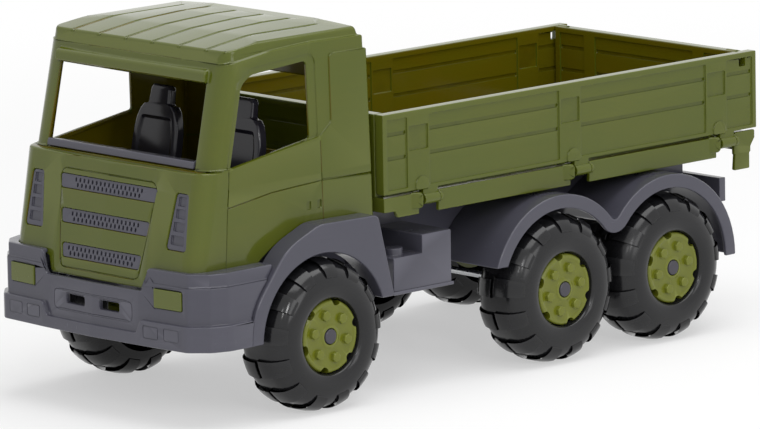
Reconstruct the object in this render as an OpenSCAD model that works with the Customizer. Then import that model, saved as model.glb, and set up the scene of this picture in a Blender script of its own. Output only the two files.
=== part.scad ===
// Toy six-wheeled cargo truck: open cab, drop-side cargo bed, free-rolling wheels.
// +X is forward, +Y is the truck's left, +Z is up, and the wheels stand on z = 0.

/* [Overall] */
// Length from the cab's rear to the front bumper's lip
cab_len = 145.7; // [140:0.1:178]
// Width over the tyres
truck_w = 192; // [184:1:232]

/* [Wheels] */
// Outer radius of a tyre
wheel_r = 42.8; // [36:0.1:43]
// Width of a tyre
tyre_w = 37; // [28:0.5:40]
// Wall of the hollow tyre
tyre_wall = 2.2; // [1.6:0.1:3]
// Rounding of the tyre's shoulders
shoulder_r = 11; // [6:0.5:13]
// Radius of the hub disc
hub_r = 20.6; // [16:0.1:24]
// Wall of the hub's disc and drum
hub_wall = 2.4; // [1.6:0.1:4]
// How far the hub's face lies inside the tyre's face
hub_recess = 2.4; // [0:0.1:4]
// From the bumper's lip back to the front axle
front_overhang = 94.5; // [90:0.5:110]
// From the bed's rear end forward to the last axle
rear_overhang = 83.5; // [70:0.5:110]
// Distance between the two rear axles
rear_spacing = 87.5; // [87:0.5:110]
// Radius of a steel axle
axle_r = 2; // [1.5:0.1:3]
// Radial running clearance of a hub on its axle
wheel_fit = 0.08; // [0.02:0.01:0.1]
// Radius of an axle's push-on cap
cap_r = 4.2; // [3.5:0.1:6]

/* [Chassis] */
// Width of the chassis box
chassis_w = 84; // [60:1:90]
// Height of the chassis top above the ground
chassis_top = 98; // [96:0.5:104]
// Depth of the chassis box's side walls
chassis_h = 34; // [24:1:40]
// Wall of the grey mouldings
grey_wall = 2.5; // [1.8:0.1:3.5]
// Radial clearance of the wheel arches round the tyres
arch_gap = 3.2; // [2.5:0.1:6]
// Half width over fenders and bumper
fender_y = 90; // [84:0.5:100]
// Width of the front fender's visible band
fender_band = 15; // [10:0.5:20]
// Height of the rear mudguard's outer band
mudguard_band = 8; // [5:0.5:12]
// Half width over the rear mudguards
mudguard_y = 91.5; // [86:0.5:100]

/* [Cab] */
// Width of the cab at its belt line
cab_w = 152; // [130:1:160]
// Height of the roof's crown
roof_z = 210.5; // [195:0.5:250]
// Height of the belt line under the windscreen
belt_z = 140.5; // [125:0.5:150]
// Wall of the cab shell
cab_wall = 2.5; // [1.8:0.1:3.5]
// Gap between cab and bed
cab_gap = 3.3; // [0.5:0.1:6]
// How far the cab's face lies behind the bumper's lip
face_setback = 7; // [6.5:0.5:12]
// Half width of the windscreen opening
screen_y = 61; // [50:0.5:64]

/* [Bed] */
// Length of the cargo bed
bed_len = 298; // [260:1:320]
// Width over the bed's side boards
bed_w = 161; // [150:1:170]
// Height of the bed floor's top
floor_z = 111.2; // [109:0.1:120]
// Height of the boards' top edge
board_top = 157.3; // [140:0.1:180]
// Thickness of the boards
board_t = 6.5; // [5:0.1:8]
// Gap round the moving boards
board_gap = 0.6; // [0.4:0.1:1.5]
// Depth of the boards' sunk panels
panel_depth = 1; // [0.5:0.1:1.5]
// How far the tailgate stands inside the side boards' ends
tailgate_inset = 5; // [3:0.5:8]
// Depth of the bed's side rail
rail_h = 12.7; // [10:0.1:16]

/* [Hinges] */
// Radius of the boards' hinge pins
hinge_pin_r = 1.5; // [1.2:0.1:2]
// Radial clearance of a knuckle on its pin
pin_fit = 0.08; // [0.02:0.01:0.1]
// Outer radius of a hinge knuckle
knuckle_r = 3.3; // [2.8:0.1:4]
// Length of a hinge knuckle
knuckle_len = 11.5; // [8:0.5:16]
// Depth of the hinge pins below the bed floor's top
pin_drop = 4.7; // [4.5:0.1:6]
// Distance of the end hinges from the bed's front end
hinge_front = 35.8; // [25:0.5:60]
// Distance of the end hinges from the bed's rear end
hinge_rear = 24.5; // [20:0.5:60]

/* [Hidden] */

eps = 0.01;
arc_steps = 5;

// Colours
olive = "#6b7a35";
hub_green = "#77842c";
slate = "#5d5d6e";
seat_grey = "#34333c";
tyre_black = "#1b1b1d";
steel = "#b9bcc0";

// Stations along the truck
truck_len = bed_len + cab_gap + cab_len;
front_x = truck_len / 2;
bed_rear_x = -truck_len / 2;
bed_front_x = bed_rear_x + bed_len;
cab_rear_x = bed_front_x + cab_gap;
cab_front_x = front_x - face_setback;
axle_front_x = front_x - front_overhang;
axle_rear_x = bed_rear_x + rear_overhang;
axle_middle_x = axle_rear_x + rear_spacing;
axle_xs = [axle_front_x, axle_middle_x, axle_rear_x];

// Heights and half widths
tyre_face_y = truck_w / 2;
tyre_in_y = tyre_face_y - tyre_w;
hub_face_y = tyre_face_y - hub_recess;
hub_in_y = tyre_in_y + 3;
hub_fit = 0.1;
axial_gap = 0.5;
cap_face_y = hub_face_y + 0.6;
cap_len = 4;
arch_r = wheel_r + arch_gap;
chassis_y = chassis_w / 2;
chassis_low = chassis_top - chassis_h;
rail_z = floor_z - rail_h;
pin_z = floor_z - pin_drop;
pin_y = bed_w / 2 - 1;
pin_x = bed_rear_x + tailgate_inset + 1;
board_bottom = floor_z + 1;
board_in_y = bed_w / 2 - board_t;
hinge_front_x = bed_front_x - hinge_front;
hinge_rear_x = bed_rear_x + hinge_rear;
hinge_xs = [hinge_front_x, (hinge_front_x + hinge_rear_x) / 2, hinge_rear_x];
tailgate_hinge_ys = [-bed_w / 3.6, bed_w / 3.6];
ear_gap = 3.2;
ear_fit = 0.4;
rim_drop = 0.8;
post_w = 17.3;

// ---------- Outline functions ----------

// Unit vector along v
function unit(v) = v / norm(v);

// Left-hand normal of the side from p to q
function side_normal(p, q) = let(d = unit([q[0] - p[0], q[1] - p[1]])) [-d[1], d[0]];

// Arc points of one corner q between neighbours p and s, where q[2] is the corner's radius
function corner_points(p, q, s) =
    let(at = [q[0], q[1]],
        a = unit([p[0], p[1]] - at),
        b = unit([s[0], s[1]] - at),
        half = acos(max(-1, min(1, a * b))) / 2,
        centre = at + unit(a + b) * q[2] / sin(half),
        from = at + a * q[2] / tan(half) - centre,
        to = at + b * q[2] / tan(half) - centre,
        start = atan2(from[1], from[0]),
        turn = atan2(from[0] * to[1] - from[1] * to[0], from * to))
    [for (i = [0:arc_steps])
        let(angle = start + turn * i / arc_steps)
        centre + q[2] * [cos(angle), sin(angle)]];

// Closed outline of [x, y, radius] corners with each corner rounded
function rounded(corners) =
    let(n = len(corners))
    [for (i = [0:n - 1])
        let(q = corners[i])
        each (q[2] > 0
            ? corner_points(corners[(i + n - 1) % n], q, corners[(i + 1) % n])
            : [[q[0], q[1]]])];

// The same corners with every side moved inward by t, for an outline that runs anticlockwise
function inset(corners, t) =
    let(n = len(corners))
    [for (i = [0:n - 1])
        let(p = corners[(i + n - 1) % n],
            q = corners[i],
            s = corners[(i + 1) % n],
            n1 = side_normal(p, q),
            n2 = side_normal(q, s),
            move = t * (n1 + n2) / (1 + n1 * n2),
            outward = n1[0] * n2[1] - n1[1] * n2[0] > 0)
        [q[0] + move[0], q[1] + move[1], q[2] > 0 ? max(outward ? q[2] - t : q[2] + t, 0.01) : 0]];

// A right-hand half outline of [y, z, r] completed by its mirror image
function both_sides(half) =
    concat(half, [for (i = [len(half) - 1:-1:0]) [-half[i][0], half[i][1], half[i][2]]]);

// Points of an arc round centre from angle a to angle b
function arc(centre, r, a, b, steps = 24) =
    [for (i = [0:steps]) let(angle = a + (b - a) * i / steps) centre + r * [cos(angle), sin(angle)]];

// ---------- Placing helpers ----------

// Extrudes an x-z outline from y = y0 to y = y1
module along_y(y0, y1) {
    translate([0, y1, 0]) rotate([90, 0, 0]) linear_extrude(height = y1 - y0) children();
}

// Extrudes a y-z outline from x = x0 to x = x1
module along_x(x0, x1) {
    translate([x0, 0, 0]) rotate([90, 0, 90]) linear_extrude(height = x1 - x0) children();
}

// A block from its low corner to its high corner
module block(low, high) {
    translate(low) cube(high - low);
}

// A round bar along Y
module rod_y(r, x, z, y0, y1) {
    translate([x, y1, z]) rotate([90, 0, 0]) cylinder(r = r, h = y1 - y0, $fn = 64);
}

// A round bar along X
module rod_x(r, y, z, x0, x1) {
    translate([x0, y, z]) rotate([0, 90, 0]) cylinder(r = r, h = x1 - x0, $fn = 48);
}

// The children and their mirror image on the truck's right side
module both_mirrored() {
    children();
    mirror([0, 1, 0]) children();
}

// ---------- Wheels ----------

// Cross-section of a solid ring with rounded outer corners: x is the radius, y runs along the axle
module ring_section(r0, r1, y0, y1, r) {
    translate([r0, y0]) square([r1 - r - r0, y1 - y0]);
    translate([r1 - r - eps, y0 + r]) square([r + eps, y1 - y0 - 2 * r]);
    translate([r1 - r, y0 + r]) circle(r = r, $fn = 64);
    translate([r1 - r, y1 - r]) circle(r = r, $fn = 64);
}

module tyre(x) {
    color(tyre_black) translate([x, 0, wheel_r]) rotate([-90, 0, 0]) rotate_extrude($fn = 96)
        difference() {
            intersection() {
                ring_section(hub_r, wheel_r, tyre_in_y, tyre_face_y, shoulder_r);
                translate([hub_r, tyre_in_y]) square([wheel_r, tyre_w]);
            }
            difference() {
                ring_section(hub_r + tyre_wall + 3, wheel_r - tyre_wall, tyre_in_y + tyre_wall,
                    tyre_face_y - tyre_wall, shoulder_r - tyre_wall);
                translate([0, tyre_in_y - eps]) square([hub_r + tyre_wall + 3, tyre_w]);
            }
            translate([0, tyre_in_y - eps]) square([hub_r + tyre_wall + 6, tyre_w - 3 * tyre_wall]);
        }
}

module hub(x) {
    color(hub_green) translate([x, 0, wheel_r]) rotate([-90, 0, 0]) difference() {
        rotate_extrude($fn = 96) {
            translate([0, hub_face_y - hub_wall]) square([hub_r - hub_fit, hub_wall]);
            translate([hub_r - hub_fit - hub_wall, hub_in_y]) square([hub_wall, hub_face_y - hub_in_y - eps]);
            translate([0, hub_in_y]) square([axle_r + 4, hub_face_y - hub_in_y - eps]);
        }
        translate([0, 0, hub_in_y - 1]) cylinder(r = axle_r + wheel_fit, h = tyre_w, $fn = 64);
        translate([0, 0, cap_face_y - cap_len - axial_gap]) cylinder(r = cap_r + axial_gap, h = cap_len + 2, $fn = 64);
    }
}

module axle(x) {
    color(steel) rod_y(axle_r, x, wheel_r, -cap_face_y + 1.5, cap_face_y - 1.5);
    color(seat_grey) both_mirrored() difference() {
        rod_y(cap_r, x, wheel_r, cap_face_y - cap_len, cap_face_y);
        rod_y(axle_r, x, wheel_r, cap_face_y - cap_len - 1, cap_face_y - 1.5);
    }
}

// ---------- Chassis ----------

// Bearing that carries one axle: a rounded hanger plate and a tube out to the hub on each side
module axle_bearing(x) {
    both_mirrored() difference() {
        union() {
            along_y(chassis_y - grey_wall, chassis_y) polygon(rounded([
                [x - 7, wheel_r - 7, 5], [x + 7, wheel_r - 7, 5],
                [x + 16, chassis_low, 0], [x - 16, chassis_low, 0]]));
            rod_y(axle_r + 3.5, x, wheel_r, chassis_y - 2 * grey_wall, hub_in_y - axial_gap);
        }
        rod_y(axle_r + wheel_fit, x, wheel_r, 0, truck_w);
    }
}

module axle_bearings() {
    color(slate) for (x = axle_xs) axle_bearing(x);
}

module chassis_frame() {
    nose_x = cab_front_x - 16;
    tail_x = bed_rear_x + 22;
    ribs = [nose_x - 20, (axle_front_x + axle_middle_x) / 2, (axle_middle_x + axle_rear_x) / 2];
    color(slate) {
        block([tail_x, -chassis_y, chassis_top - grey_wall], [nose_x, chassis_y, chassis_top]);
        both_mirrored()
            block([tail_x, chassis_y - grey_wall, chassis_low], [nose_x, chassis_y, chassis_top]);
        for (x = concat(ribs, [tail_x, nose_x - grey_wall]))
            block([x, -chassis_y, chassis_low], [x + grey_wall, chassis_y, chassis_top]);
        block([tail_x - 5, -bed_w / 2 + 9, chassis_low + 6], [tail_x, bed_w / 2 - 9, chassis_low + 20]);
    }
}

// Closed outline between the mudguard's outer line and the line t inside it
function mudguard_outline(t) =
    let(valley_r = 4,
        outer_r = arch_r + mudguard_band,
        mid = (axle_middle_x + axle_rear_x) / 2,
        half = rear_spacing / 2,
        rise = sqrt(pow(outer_r + valley_r, 2) - half * half),
        lean = atan2(rise, half))
    concat(
        arc([axle_middle_x, wheel_r], outer_r, 20, 180 - lean),
        arc([mid, wheel_r + rise], valley_r, -lean, lean - 180, 8),
        arc([axle_rear_x, wheel_r], outer_r, lean, 180),
        arc([axle_rear_x, wheel_r], outer_r - t, 180, lean),
        arc([mid, wheel_r + rise], valley_r + t, lean - 180, -lean, 8),
        arc([axle_middle_x, wheel_r], outer_r - t, 180 - lean, 20));

module rear_mudguard() {
    color(slate) difference() {
        union() {
            along_y(chassis_y, mudguard_y) polygon(mudguard_outline(grey_wall));
            along_y(mudguard_y - grey_wall, mudguard_y) polygon(mudguard_outline(mudguard_band));
        }
        along_y(chassis_y - 1, mudguard_y + 1)
            polygon([[axle_middle_x + 30, wheel_r + 18.5], [axle_middle_x + 70, wheel_r + 18.5],
                [axle_middle_x + 70, wheel_r], [axle_middle_x + 30, wheel_r]]);
    }
}

module step_box() {
    front = bed_front_x - 5;
    rear = front - 44.5;
    low = 57.5;
    mid = low + 19;
    high = low + 29.5;
    shelf = rear + 22.5;
    color(slate) difference() {
        union() {
            along_y(chassis_y, 82) polygon(rounded([
                [rear, low, 0.8], [front, low, 0.8], [front, mid, 0.8],
                [shelf, mid, 0], [shelf, high, 0.8], [rear, high, 0.8]]));
            block([rear - 1, chassis_y, low - 2], [front + 1, 83, low]);
            translate([front - 9, 72, mid - eps]) cylinder(r = 5.5, h = 4, $fn = 48);
        }
        block([rear + grey_wall, chassis_y + grey_wall, low - 3],
            [front - grey_wall, 82 - grey_wall, mid - grey_wall]);
        block([rear + grey_wall, chassis_y + grey_wall, low],
            [shelf - grey_wall, 82 - grey_wall, high - grey_wall]);
    }
}

// ---------- Front fenders and bumper ----------

// Height of the fender and bumper rim beside the cab
rim_z = 87.5;
bumper_low = 44.5;
lip_top = 59;
lip_dip = 51.5;
main_top = 80;
dip_top = 74.5;
dip_y = 39;
bumper_end_x = axle_front_x + 36;
cab_side_low = rim_z - 3.5;
cab_rear_low = 101;
cab_side_y = cab_w / 2 + 0.2;

// Side view of the front fender's band, which is wider over the wheel than in front of it
function fender_corners() =
    let(front = axle_front_x + arch_r + 8.3, top = wheel_r + arch_r + fender_band + 1.5,
        rear = bed_front_x + 1.6, foot = wheel_r + 14.7)
    [[front, bumper_low, 0], [front, wheel_r + 19, 40], [axle_front_x + 28, top - 10.3, 40],
     [axle_front_x + 3, top, 20], [rear + 11.5, top - 0.7, 4], [rear, foot, 1.5],
     [axle_front_x, foot, 0], [axle_front_x, bumper_low, 0]];

module front_fender() {
    color(slate) difference() {
        along_y(cab_side_y, fender_y) polygon(rounded(fender_corners()));
        rod_y(arch_r, axle_front_x, wheel_r, cab_side_y - 1, fender_y + 1);
        difference() {
            along_y(cab_side_y - 1, fender_y - grey_wall) intersection() {
                polygon(rounded(inset(fender_corners(), grey_wall)));
                translate([cab_rear_x, wheel_r + 20]) square(truck_w);
            }
            rod_y(arch_r + grey_wall, axle_front_x, wheel_r, cab_side_y - 2, fender_y);
        }
    }
}

// Plan of the bumper, t inside its lip
function bumper_plan(t) = inset([
    [bumper_end_x - 20, -fender_y - 1, 0], [front_x - 24, -fender_y - 1, 12],
    [front_x - 13, -fender_y + 3, 7], [front_x - 3, -fender_y + 14, 7],
    [front_x - 0.6, -38, 60], [front_x + 0.8, 0, 40], [front_x - 0.6, 38, 60],
    [front_x - 3, fender_y - 14, 7], [front_x - 13, fender_y - 3, 7],
    [front_x - 24, fender_y + 1, 12], [bumper_end_x - 20, fender_y + 1, 0]], t);

// Front view of a bumper tier: full height at the sides, lower over the middle
function tier_front(low, side_top, middle_top, middle_y) = both_sides([
    [middle_y, middle_top, 2.5], [middle_y + 3.5, side_top, 2.5], [fender_y + 5, side_top, 0],
    [fender_y + 5, low, 0]]);

// One bumper tier: its plan set back by t and cut by its front view
module bumper_tier(t, low, side_top, middle_top, middle_y) {
    intersection() {
        translate([0, 0, low]) linear_extrude(height = side_top - low)
            polygon(rounded(bumper_plan(t)));
        along_x(bumper_end_x, front_x + 1)
            polygon(rounded(tier_front(low - 1, side_top, middle_top, middle_y)));
    }
}

module front_bumper() {
    fit = 0.3;
    color(slate) difference() {
        union() {
            bumper_tier(0.8, bumper_low, lip_top, lip_dip, dip_y - 2);
            bumper_tier(3.2, bumper_low, main_top, dip_top, dip_y);
            bumper_tier(4.2, main_top - 8, rim_z, dip_top, dip_y + 1);
        }
        translate([0, 0, bumper_low - 1]) linear_extrude(height = rim_z - bumper_low + 1 - grey_wall)
            polygon(rounded(bumper_plan(6.4)));
        intersection() {
            cab_solid(-fit);
            block([0, -truck_w, dip_top], [front_x, truck_w, roof_z]);
        }
        both_mirrored() along_y(chassis_y, truck_w) polygon(rounded(inset(fender_corners(), -0.05)));
        lamp_pockets(0.15, 8);
        for (side = [-1, 1])
            block([front_x - 20, side * 14 - 7.8, 60.4], [front_x + 1, side * 14 + 7.8, 65.4]);
    }
}

// The two square lamps in the bumper, g larger all round and d deep
module lamp_pockets(g, d) {
    both_mirrored() translate([front_x - 4.8, 60.2, 71.9]) rotate([0, 0, 4.2])
        block([-d, -10.4 - g, -5.3 - g], [0.3 + g * 8, 10.4 + g, 5.3 + g]);
}

module lamp_lenses() {
    color(olive) intersection() {
        lamp_pockets(0, 2.4);
        block([0, -fender_y, 0], [front_x, fender_y, roof_z]);
    }
}

// ---------- Cab ----------

face_top = belt_z - 1;
face_lean = atan2(11.5, face_top - 75);
screen_foot_x = cab_front_x - 17.4;
screen_top = roof_z - 22.5;
screen_head_x = screen_foot_x - 11;
screen_lean = atan2(11, screen_top - belt_z);
cab_under = 40;
cab_y = cab_w / 2;
pillar_top = roof_z - 14.7;
frame_top = roof_z - 12.3;
foot_front_x = cab_front_x + (75 - cab_under) * tan(face_lean);
sill_front = [screen_foot_x - 16, belt_z + 1];
sill_rear = [cab_rear_x + 46.4, belt_z + 10.3];

// Side view of the cab's body and rear pillar, clockwise seen from the left
function body_side() = [
    [cab_rear_x - 1, cab_under, 0], [foot_front_x, cab_under, 0],
    [cab_front_x - 11.5, face_top, 2], [screen_foot_x, belt_z + 0.6, 1],
    [sill_front[0], sill_front[1] + 0.1, 0], [sill_rear[0], sill_rear[1] + 0.1, 0],
    [cab_rear_x + 39.6, sill_rear[1], 3], [cab_rear_x + 30.8, belt_z + 17, 4],
    [cab_rear_x + 31.3, pillar_top, 2], [cab_rear_x + 3.2, pillar_top, 0.8]];

// Side view of the window frames and the roof's lower step
function frame_side() = [
    [cab_rear_x + 1, cab_under, 0], [foot_front_x - 1, cab_under, 0],
    [cab_front_x - 12.5, face_top - 1, 2], [screen_foot_x, belt_z + 0.6, 0.6],
    [screen_head_x - 2.2, frame_top, 1.2], [screen_head_x - 36, roof_z - 8, 80],
    [cab_rear_x + 46, roof_z - 6.6, 60], [cab_rear_x + 5.2, roof_z - 7.2, 1.2]];

// Side view of the roof's cap
function cap_side() = [
    [cab_rear_x + 4, cab_under, 0], [screen_head_x - 3.4, cab_under, 0],
    [screen_head_x - 3.4, frame_top, 3], [screen_head_x - 6.5, roof_z - 5.4, 2],
    [screen_head_x - 36, roof_z - 1.6, 80], [cab_rear_x + 40, roof_z, 60],
    [cab_rear_x + 9.3, roof_z - 0.5, 2.5], [cab_rear_x + 7.4, roof_z - 7, 0]];

// Front views of the same three layers
function body_front() = both_sides([
    [cab_y - 0.4, cab_under - 1, 0], [cab_y, belt_z - 10, 60], [cab_y - 0.8, roof_z + 1, 0]]);
function frame_front() = both_sides([
    [cab_y - 1.4, cab_under - 1, 0], [cab_y - 0.9, belt_z, 60], [cab_y - 1.6, roof_z + 1, 0]]);
function cap_front() = both_sides([
    [cab_y - 3, cab_under - 1, 0], [cab_y - 3.2, roof_z - 8, 0], [cab_y - 3.9, roof_z - 2.4, 2.5],
    [30, roof_z + 0.1, 90]]);

// Plan of the cab's front, t inside, with its foot at the origin
function cab_plan_corners(t) = inset([
    [-truck_len, -cab_y, 0], [-1.8, -cab_y, 10.9], [-0.6, -38, 40], [0, 0, 0],
    [-0.6, 38, 40], [-1.8, cab_y, 10.9], [-truck_len, cab_y, 0]], t);

// One layer of the cab from its side and front views, moved inward by t, with its corners back by setback
module cab_layer(side, front, setback, t) {
    module leaning_plan(x, z, lean, low, high) {
        intersection() {
            translate([x + setback, 0, z]) rotate([0, -lean, 0]) translate([0, 0, -truck_len / 2])
                linear_extrude(height = truck_len) polygon(rounded(cab_plan_corners(t + setback)));
            block([0, -truck_w, low], [truck_len, truck_w, high]);
        }
    }
    intersection() {
        along_y(-cab_y, cab_y) polygon(rounded(inset(side, t)));
        along_x(0, truck_len) polygon(rounded(inset(front, t)));
        union() {
            leaning_plan(cab_front_x, 75, face_lean, cab_under - 10, belt_z);
            leaning_plan(screen_foot_x, belt_z, screen_lean, belt_z - eps, roof_z + 10);
        }
    }
}

// The cab's outer solid, moved inward by t
module cab_solid(t) {
    cab_layer(body_side(), body_front(), 0, t);
    cab_layer(frame_side(), frame_front(), 0.9, t);
    cab_layer(cap_side(), cap_front(), 3, t);
}

// Side window
module side_window() {
    front = sill_front[0];
    polygon(rounded([
        [sill_rear[0], sill_rear[1], 1.5], [front, sill_front[1], 0.6],
        [front - 9.6, screen_top - 2, 8], [front - 17, screen_top + 2.8, 10],
        [sill_rear[0] + 1.1, screen_top + 5.7, 2.5]]));
}

// Openings of windscreen, rear window and side windows
module cab_windows() {
    along_x(cab_front_x - 60, front_x) polygon(rounded(both_sides([
        [screen_y, belt_z + 0.2, 1], [screen_y - 0.8, screen_top, 1]])));
    along_x(cab_rear_x - 5, cab_rear_x + 20) polygon(rounded(both_sides([
        [56, belt_z - 10.5, 4], [56, screen_top - 13, 6]])));
    along_y(-truck_w, truck_w) side_window();
}

// Rounded bar over the windscreen
module screen_bar() {
    along_y(-screen_y - 0.6, screen_y + 0.6) polygon(rounded([
        [screen_head_x - 2, screen_top + 0.1, 0], [screen_head_x + 1.8, screen_top + 0.1, 1.2],
        [screen_head_x + 1.4, screen_top + 6, 2.8], [screen_head_x - 3.6, screen_top + 7.4, 0]]));
}

// Everything that is cut away under the cab's lower edge
module under_cab() {
    along_x(axle_front_x, front_x) polygon(rounded(both_sides([
        [truck_w, cab_under - 20, 0], [truck_w, cab_side_low, 0], [dip_y + 3.9, cab_side_low, 2.5],
        [dip_y + 0.4, dip_top + 0.5, 2.5]])));
    block([0, -truck_w, 0], [axle_front_x, truck_w, cab_rear_low]);
    rod_y(arch_r + fender_band - 4, axle_front_x, wheel_r, -truck_w, truck_w);
}

// Outline of a line of width w through the points
function ribbon(points, w) =
    let(last = len(points) - 1,
        normals = [for (i = [0:last])
            unit(side_normal(points[max(i - 1, 0)], points[min(i, last - 1) + (i == 0 ? 1 : 0) + (i == last ? 1 : 0)])
                + side_normal(points[max(i - 1, 0) + (i == 0 ? 0 : 1) - (i == last ? 1 : 0)], points[min(i + 1, last)]))])
    concat([for (i = [0:last]) points[i] + normals[i] * w / 2],
        [for (i = [last:-1:0]) points[i] - normals[i] * w / 2]);

// Lines on the cab's sides: the door's edges, the waist crease and the two handle recesses
module side_lines() {
    line_w = 0.8;
    along_y(cab_y - 5, cab_y + 2) {
        polygon(ribbon([[cab_front_x - 31, belt_z - 0.5], [cab_front_x - 29.2, belt_z - 21.5],
            [cab_front_x - 27, cab_side_low - 2]], line_w));
        polygon(ribbon([[cab_rear_x + 39.6, belt_z + 8], [cab_rear_x + 38.4, cab_rear_low - 2]], line_w));
        polygon(ribbon([[cab_front_x - 29.6, belt_z - 20.5], [cab_front_x - 62, belt_z - 16],
            [cab_rear_x + 38, belt_z - 14], [cab_rear_x - 2, belt_z - 15]], line_w));
        for (x = [cab_rear_x + 39.7, cab_rear_x + 47.5])
            translate([x, belt_z - 29.4]) square([3.6, 4.8]);
    }
}

// Sunk frame round a side window, open along the sill
module window_frame() {
    front = sill_front[0];
    along_y(cab_y - 5, cab_y + 2) polygon(rounded([
        [cab_rear_x + 40.6, sill_rear[1], 0], [front + 3, sill_front[1], 0], [front - 6.2, screen_top, 12],
        [front - 15, screen_top + 6.8, 12], [cab_rear_x + 41.6, screen_top + 10.2, 6]]));
}

// Roof grooves and the line round the grilles
module front_and_roof_lines() {
    groove_w = 1.9;
    groove_pitch = (cab_w - 20) / 6;
    line = [[32.8, 3.8, 5], [40.6, 59, 5]];
    for (i = [-2.5:1:2.5])
        translate([0, i * groove_pitch, roof_z - 7]) linear_extrude(height = 9) polygon(rounded([
            [cab_rear_x + 21, -groove_w / 2, 0.8], [screen_head_x - 4, -groove_w / 2, 0],
            [screen_head_x - 4, groove_w / 2, 0], [cab_rear_x + 21, groove_w / 2, 0.8]]));
    on_face(0) along_x(-6, 3) difference() {
        polygon(rounded(both_sides(line)));
        polygon(rounded(inset(both_sides(line), 0.8)));
    }
}

// Everything that is engraved into the cab's outer skin
module cab_engraving() {
    intersection() {
        difference() {
            cab_solid(-0.9);
            cab_solid(0.7);
        }
        union() {
            both_mirrored() {
                side_lines();
                window_frame();
            }
            front_and_roof_lines();
        }
    }
}

// Frame on the cab's leaning face: x out of the face, z up it, and s millimetres up from z = 75
module on_face(s) {
    translate([cab_front_x, 0, 75]) rotate([0, -face_lean, 0]) translate([0, 0, s]) children();
}

// The three grille slots, t larger all round, from depth d0 to d1 behind the face
module grille_slots(t, d0, d1) {
    for (i = [0:2])
        let(half_y = 31.5 + 3.6 * i, low = 9.6 + 18.9 * i, up = 8)
            on_face(0) along_x(-d1, -d0) polygon(rounded(both_sides([
                [half_y + t, low - t, 1.5], [half_y + 1.4 + t, low + up + t, 1.5]])));
}

// The two corner vents, t larger all round, from depth d0 to d1 behind the face
module vent_slots(t, d0, d1) {
    both_mirrored() on_face(0) translate([-1.3, 59, 0]) rotate([0, 0, 2.2]) along_x(-d1, -d0)
        polygon(rounded([[-8 - t, 23.5 - t, 2], [7.5 + t, 23.5 - t, 2],
            [5.5 + t, 55 + t, 2], [-4 - t, 55 + t, 2]]));
}

module cab_shell() {
    color(olive) {
        difference() {
            cab_solid(0);
            cab_solid(cab_wall);
            under_cab();
            cab_windows();
            grille_slots(0, -2, 8);
            vent_slots(0, -3, 8);
            cab_engraving();
        }
        screen_bar();
    }
}

module grille_inserts() {
    color(slate) grille_slots(-0.15, 1.1, 3.2);
}

module corner_vents() {
    color(slate) vent_slots(-0.15, 0.9, 3);
}

module cab_floor() {
    y = cab_y - cab_wall - 0.9;
    top = cab_rear_low + 3;
    color(slate) {
        block([cab_rear_x + cab_wall + 0.8, -y, cab_rear_low + 0.5], [cab_front_x - 26, y, top]);
        for (side = [-1, 1])
            block([cab_rear_x + cab_wall + 0.8, side * 25 - 4, chassis_top],
                [cab_front_x - 26, side * 25 + 4, cab_rear_low + 0.5 + eps]);
    }
}

module dashboard() {
    y = screen_y - 0.5;
    front = screen_foot_x - 0.6;
    floor_top = cab_rear_low + 3;
    color(slate) {
        along_y(-y, y) polygon(rounded([
            [front - 24, belt_z - 6, 2], [front - 20.5, belt_z - 6, 0], [front - 19, belt_z - 2, 1],
            [front - 3.5, belt_z + 0.9, 0], [front - 0.2, belt_z + 0.9, 0.5],
            [front - 1, belt_z + 5.2, 1], [front - 22, belt_z + 0.8, 3]]));
        block([front - 23.5, -y, floor_top], [front - 20.5, y, belt_z - 4]);
    }
}

module seat() {
    foot_x = cab_rear_x + 71.7;
    floor_top = cab_rear_low + 3;
    back_lean = 11;
    shoulder_h = 57;
    head_h = 11.2;
    back_t = 6.5;
    back_low = back_t * tan(back_lean) + 0.05;
    color(seat_grey) translate([0, 34, 0]) {
        translate([foot_x, 0, floor_top]) rotate([0, -back_lean, 0]) {
            along_x(-back_t, 0) polygon(rounded(both_sides([
                [19, back_low, 0], [17.5, shoulder_h - 20, 30], [12.5, shoulder_h, 3.5]])));
            along_x(-back_t, 0) polygon(rounded(both_sides([
                [9, shoulder_h - 3, 0], [8, shoulder_h + head_h, 3.5]])));
        }
        block([foot_x - 4, -19, floor_top], [foot_x + 22, 19, floor_top + 13]);
    }
}

// ---------- Cargo bed ----------

// Notch in the floor's edge for one knuckle of a hinge, in the frame of a left-hand hinge at x
module hinge_notch(x) {
    block([x - knuckle_len / 2 - 0.3, pin_y - knuckle_r - 0.5, rail_z - 1],
        [x + knuckle_len / 2 + ear_gap, bed_w, floor_z + 1]);
}

// Pin of one hinge, the collars that hold it and the wedge-shaped ear in front
module hinge_pin(x) {
    rear = x - knuckle_len / 2 - 0.3;
    front = x + knuckle_len / 2 + ear_gap;
    rod_x(hinge_pin_r, pin_y, pin_z, rear - 1, front + 1);
    rod_x(knuckle_r - 0.1, pin_y, pin_z, rear - 2, rear);
    rod_x(knuckle_r - 0.3, pin_y, pin_z, front, front + 3);
    intersection() {
        translate([0, 0, rail_z + 3.6]) linear_extrude(height = rail_h - 3.8)
            polygon([[front, pin_y], [front + 6, pin_y], [front + 6, pin_y + 1], [front + 0.8, pin_y + 4.2],
                [front, pin_y + 4.2]]);
        rod_x(board_bottom - pin_z - ear_fit, pin_y, pin_z, rear, front + 7);
    }
}

// Knuckle of one hinge with its neck up to the board
module hinge_knuckle(x) {
    half = knuckle_len / 2;
    rod_x(knuckle_r, pin_y, pin_z, x - half, x + half);
    block([x - half, pin_y - 2.6, pin_z], [x + half, pin_y + 1.0, board_bottom + 1]);
}

// Bore of one knuckle
module knuckle_bore(x) {
    rod_x(hinge_pin_r + pin_fit, pin_y, pin_z, x - knuckle_len, x + knuckle_len);
}

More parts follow.
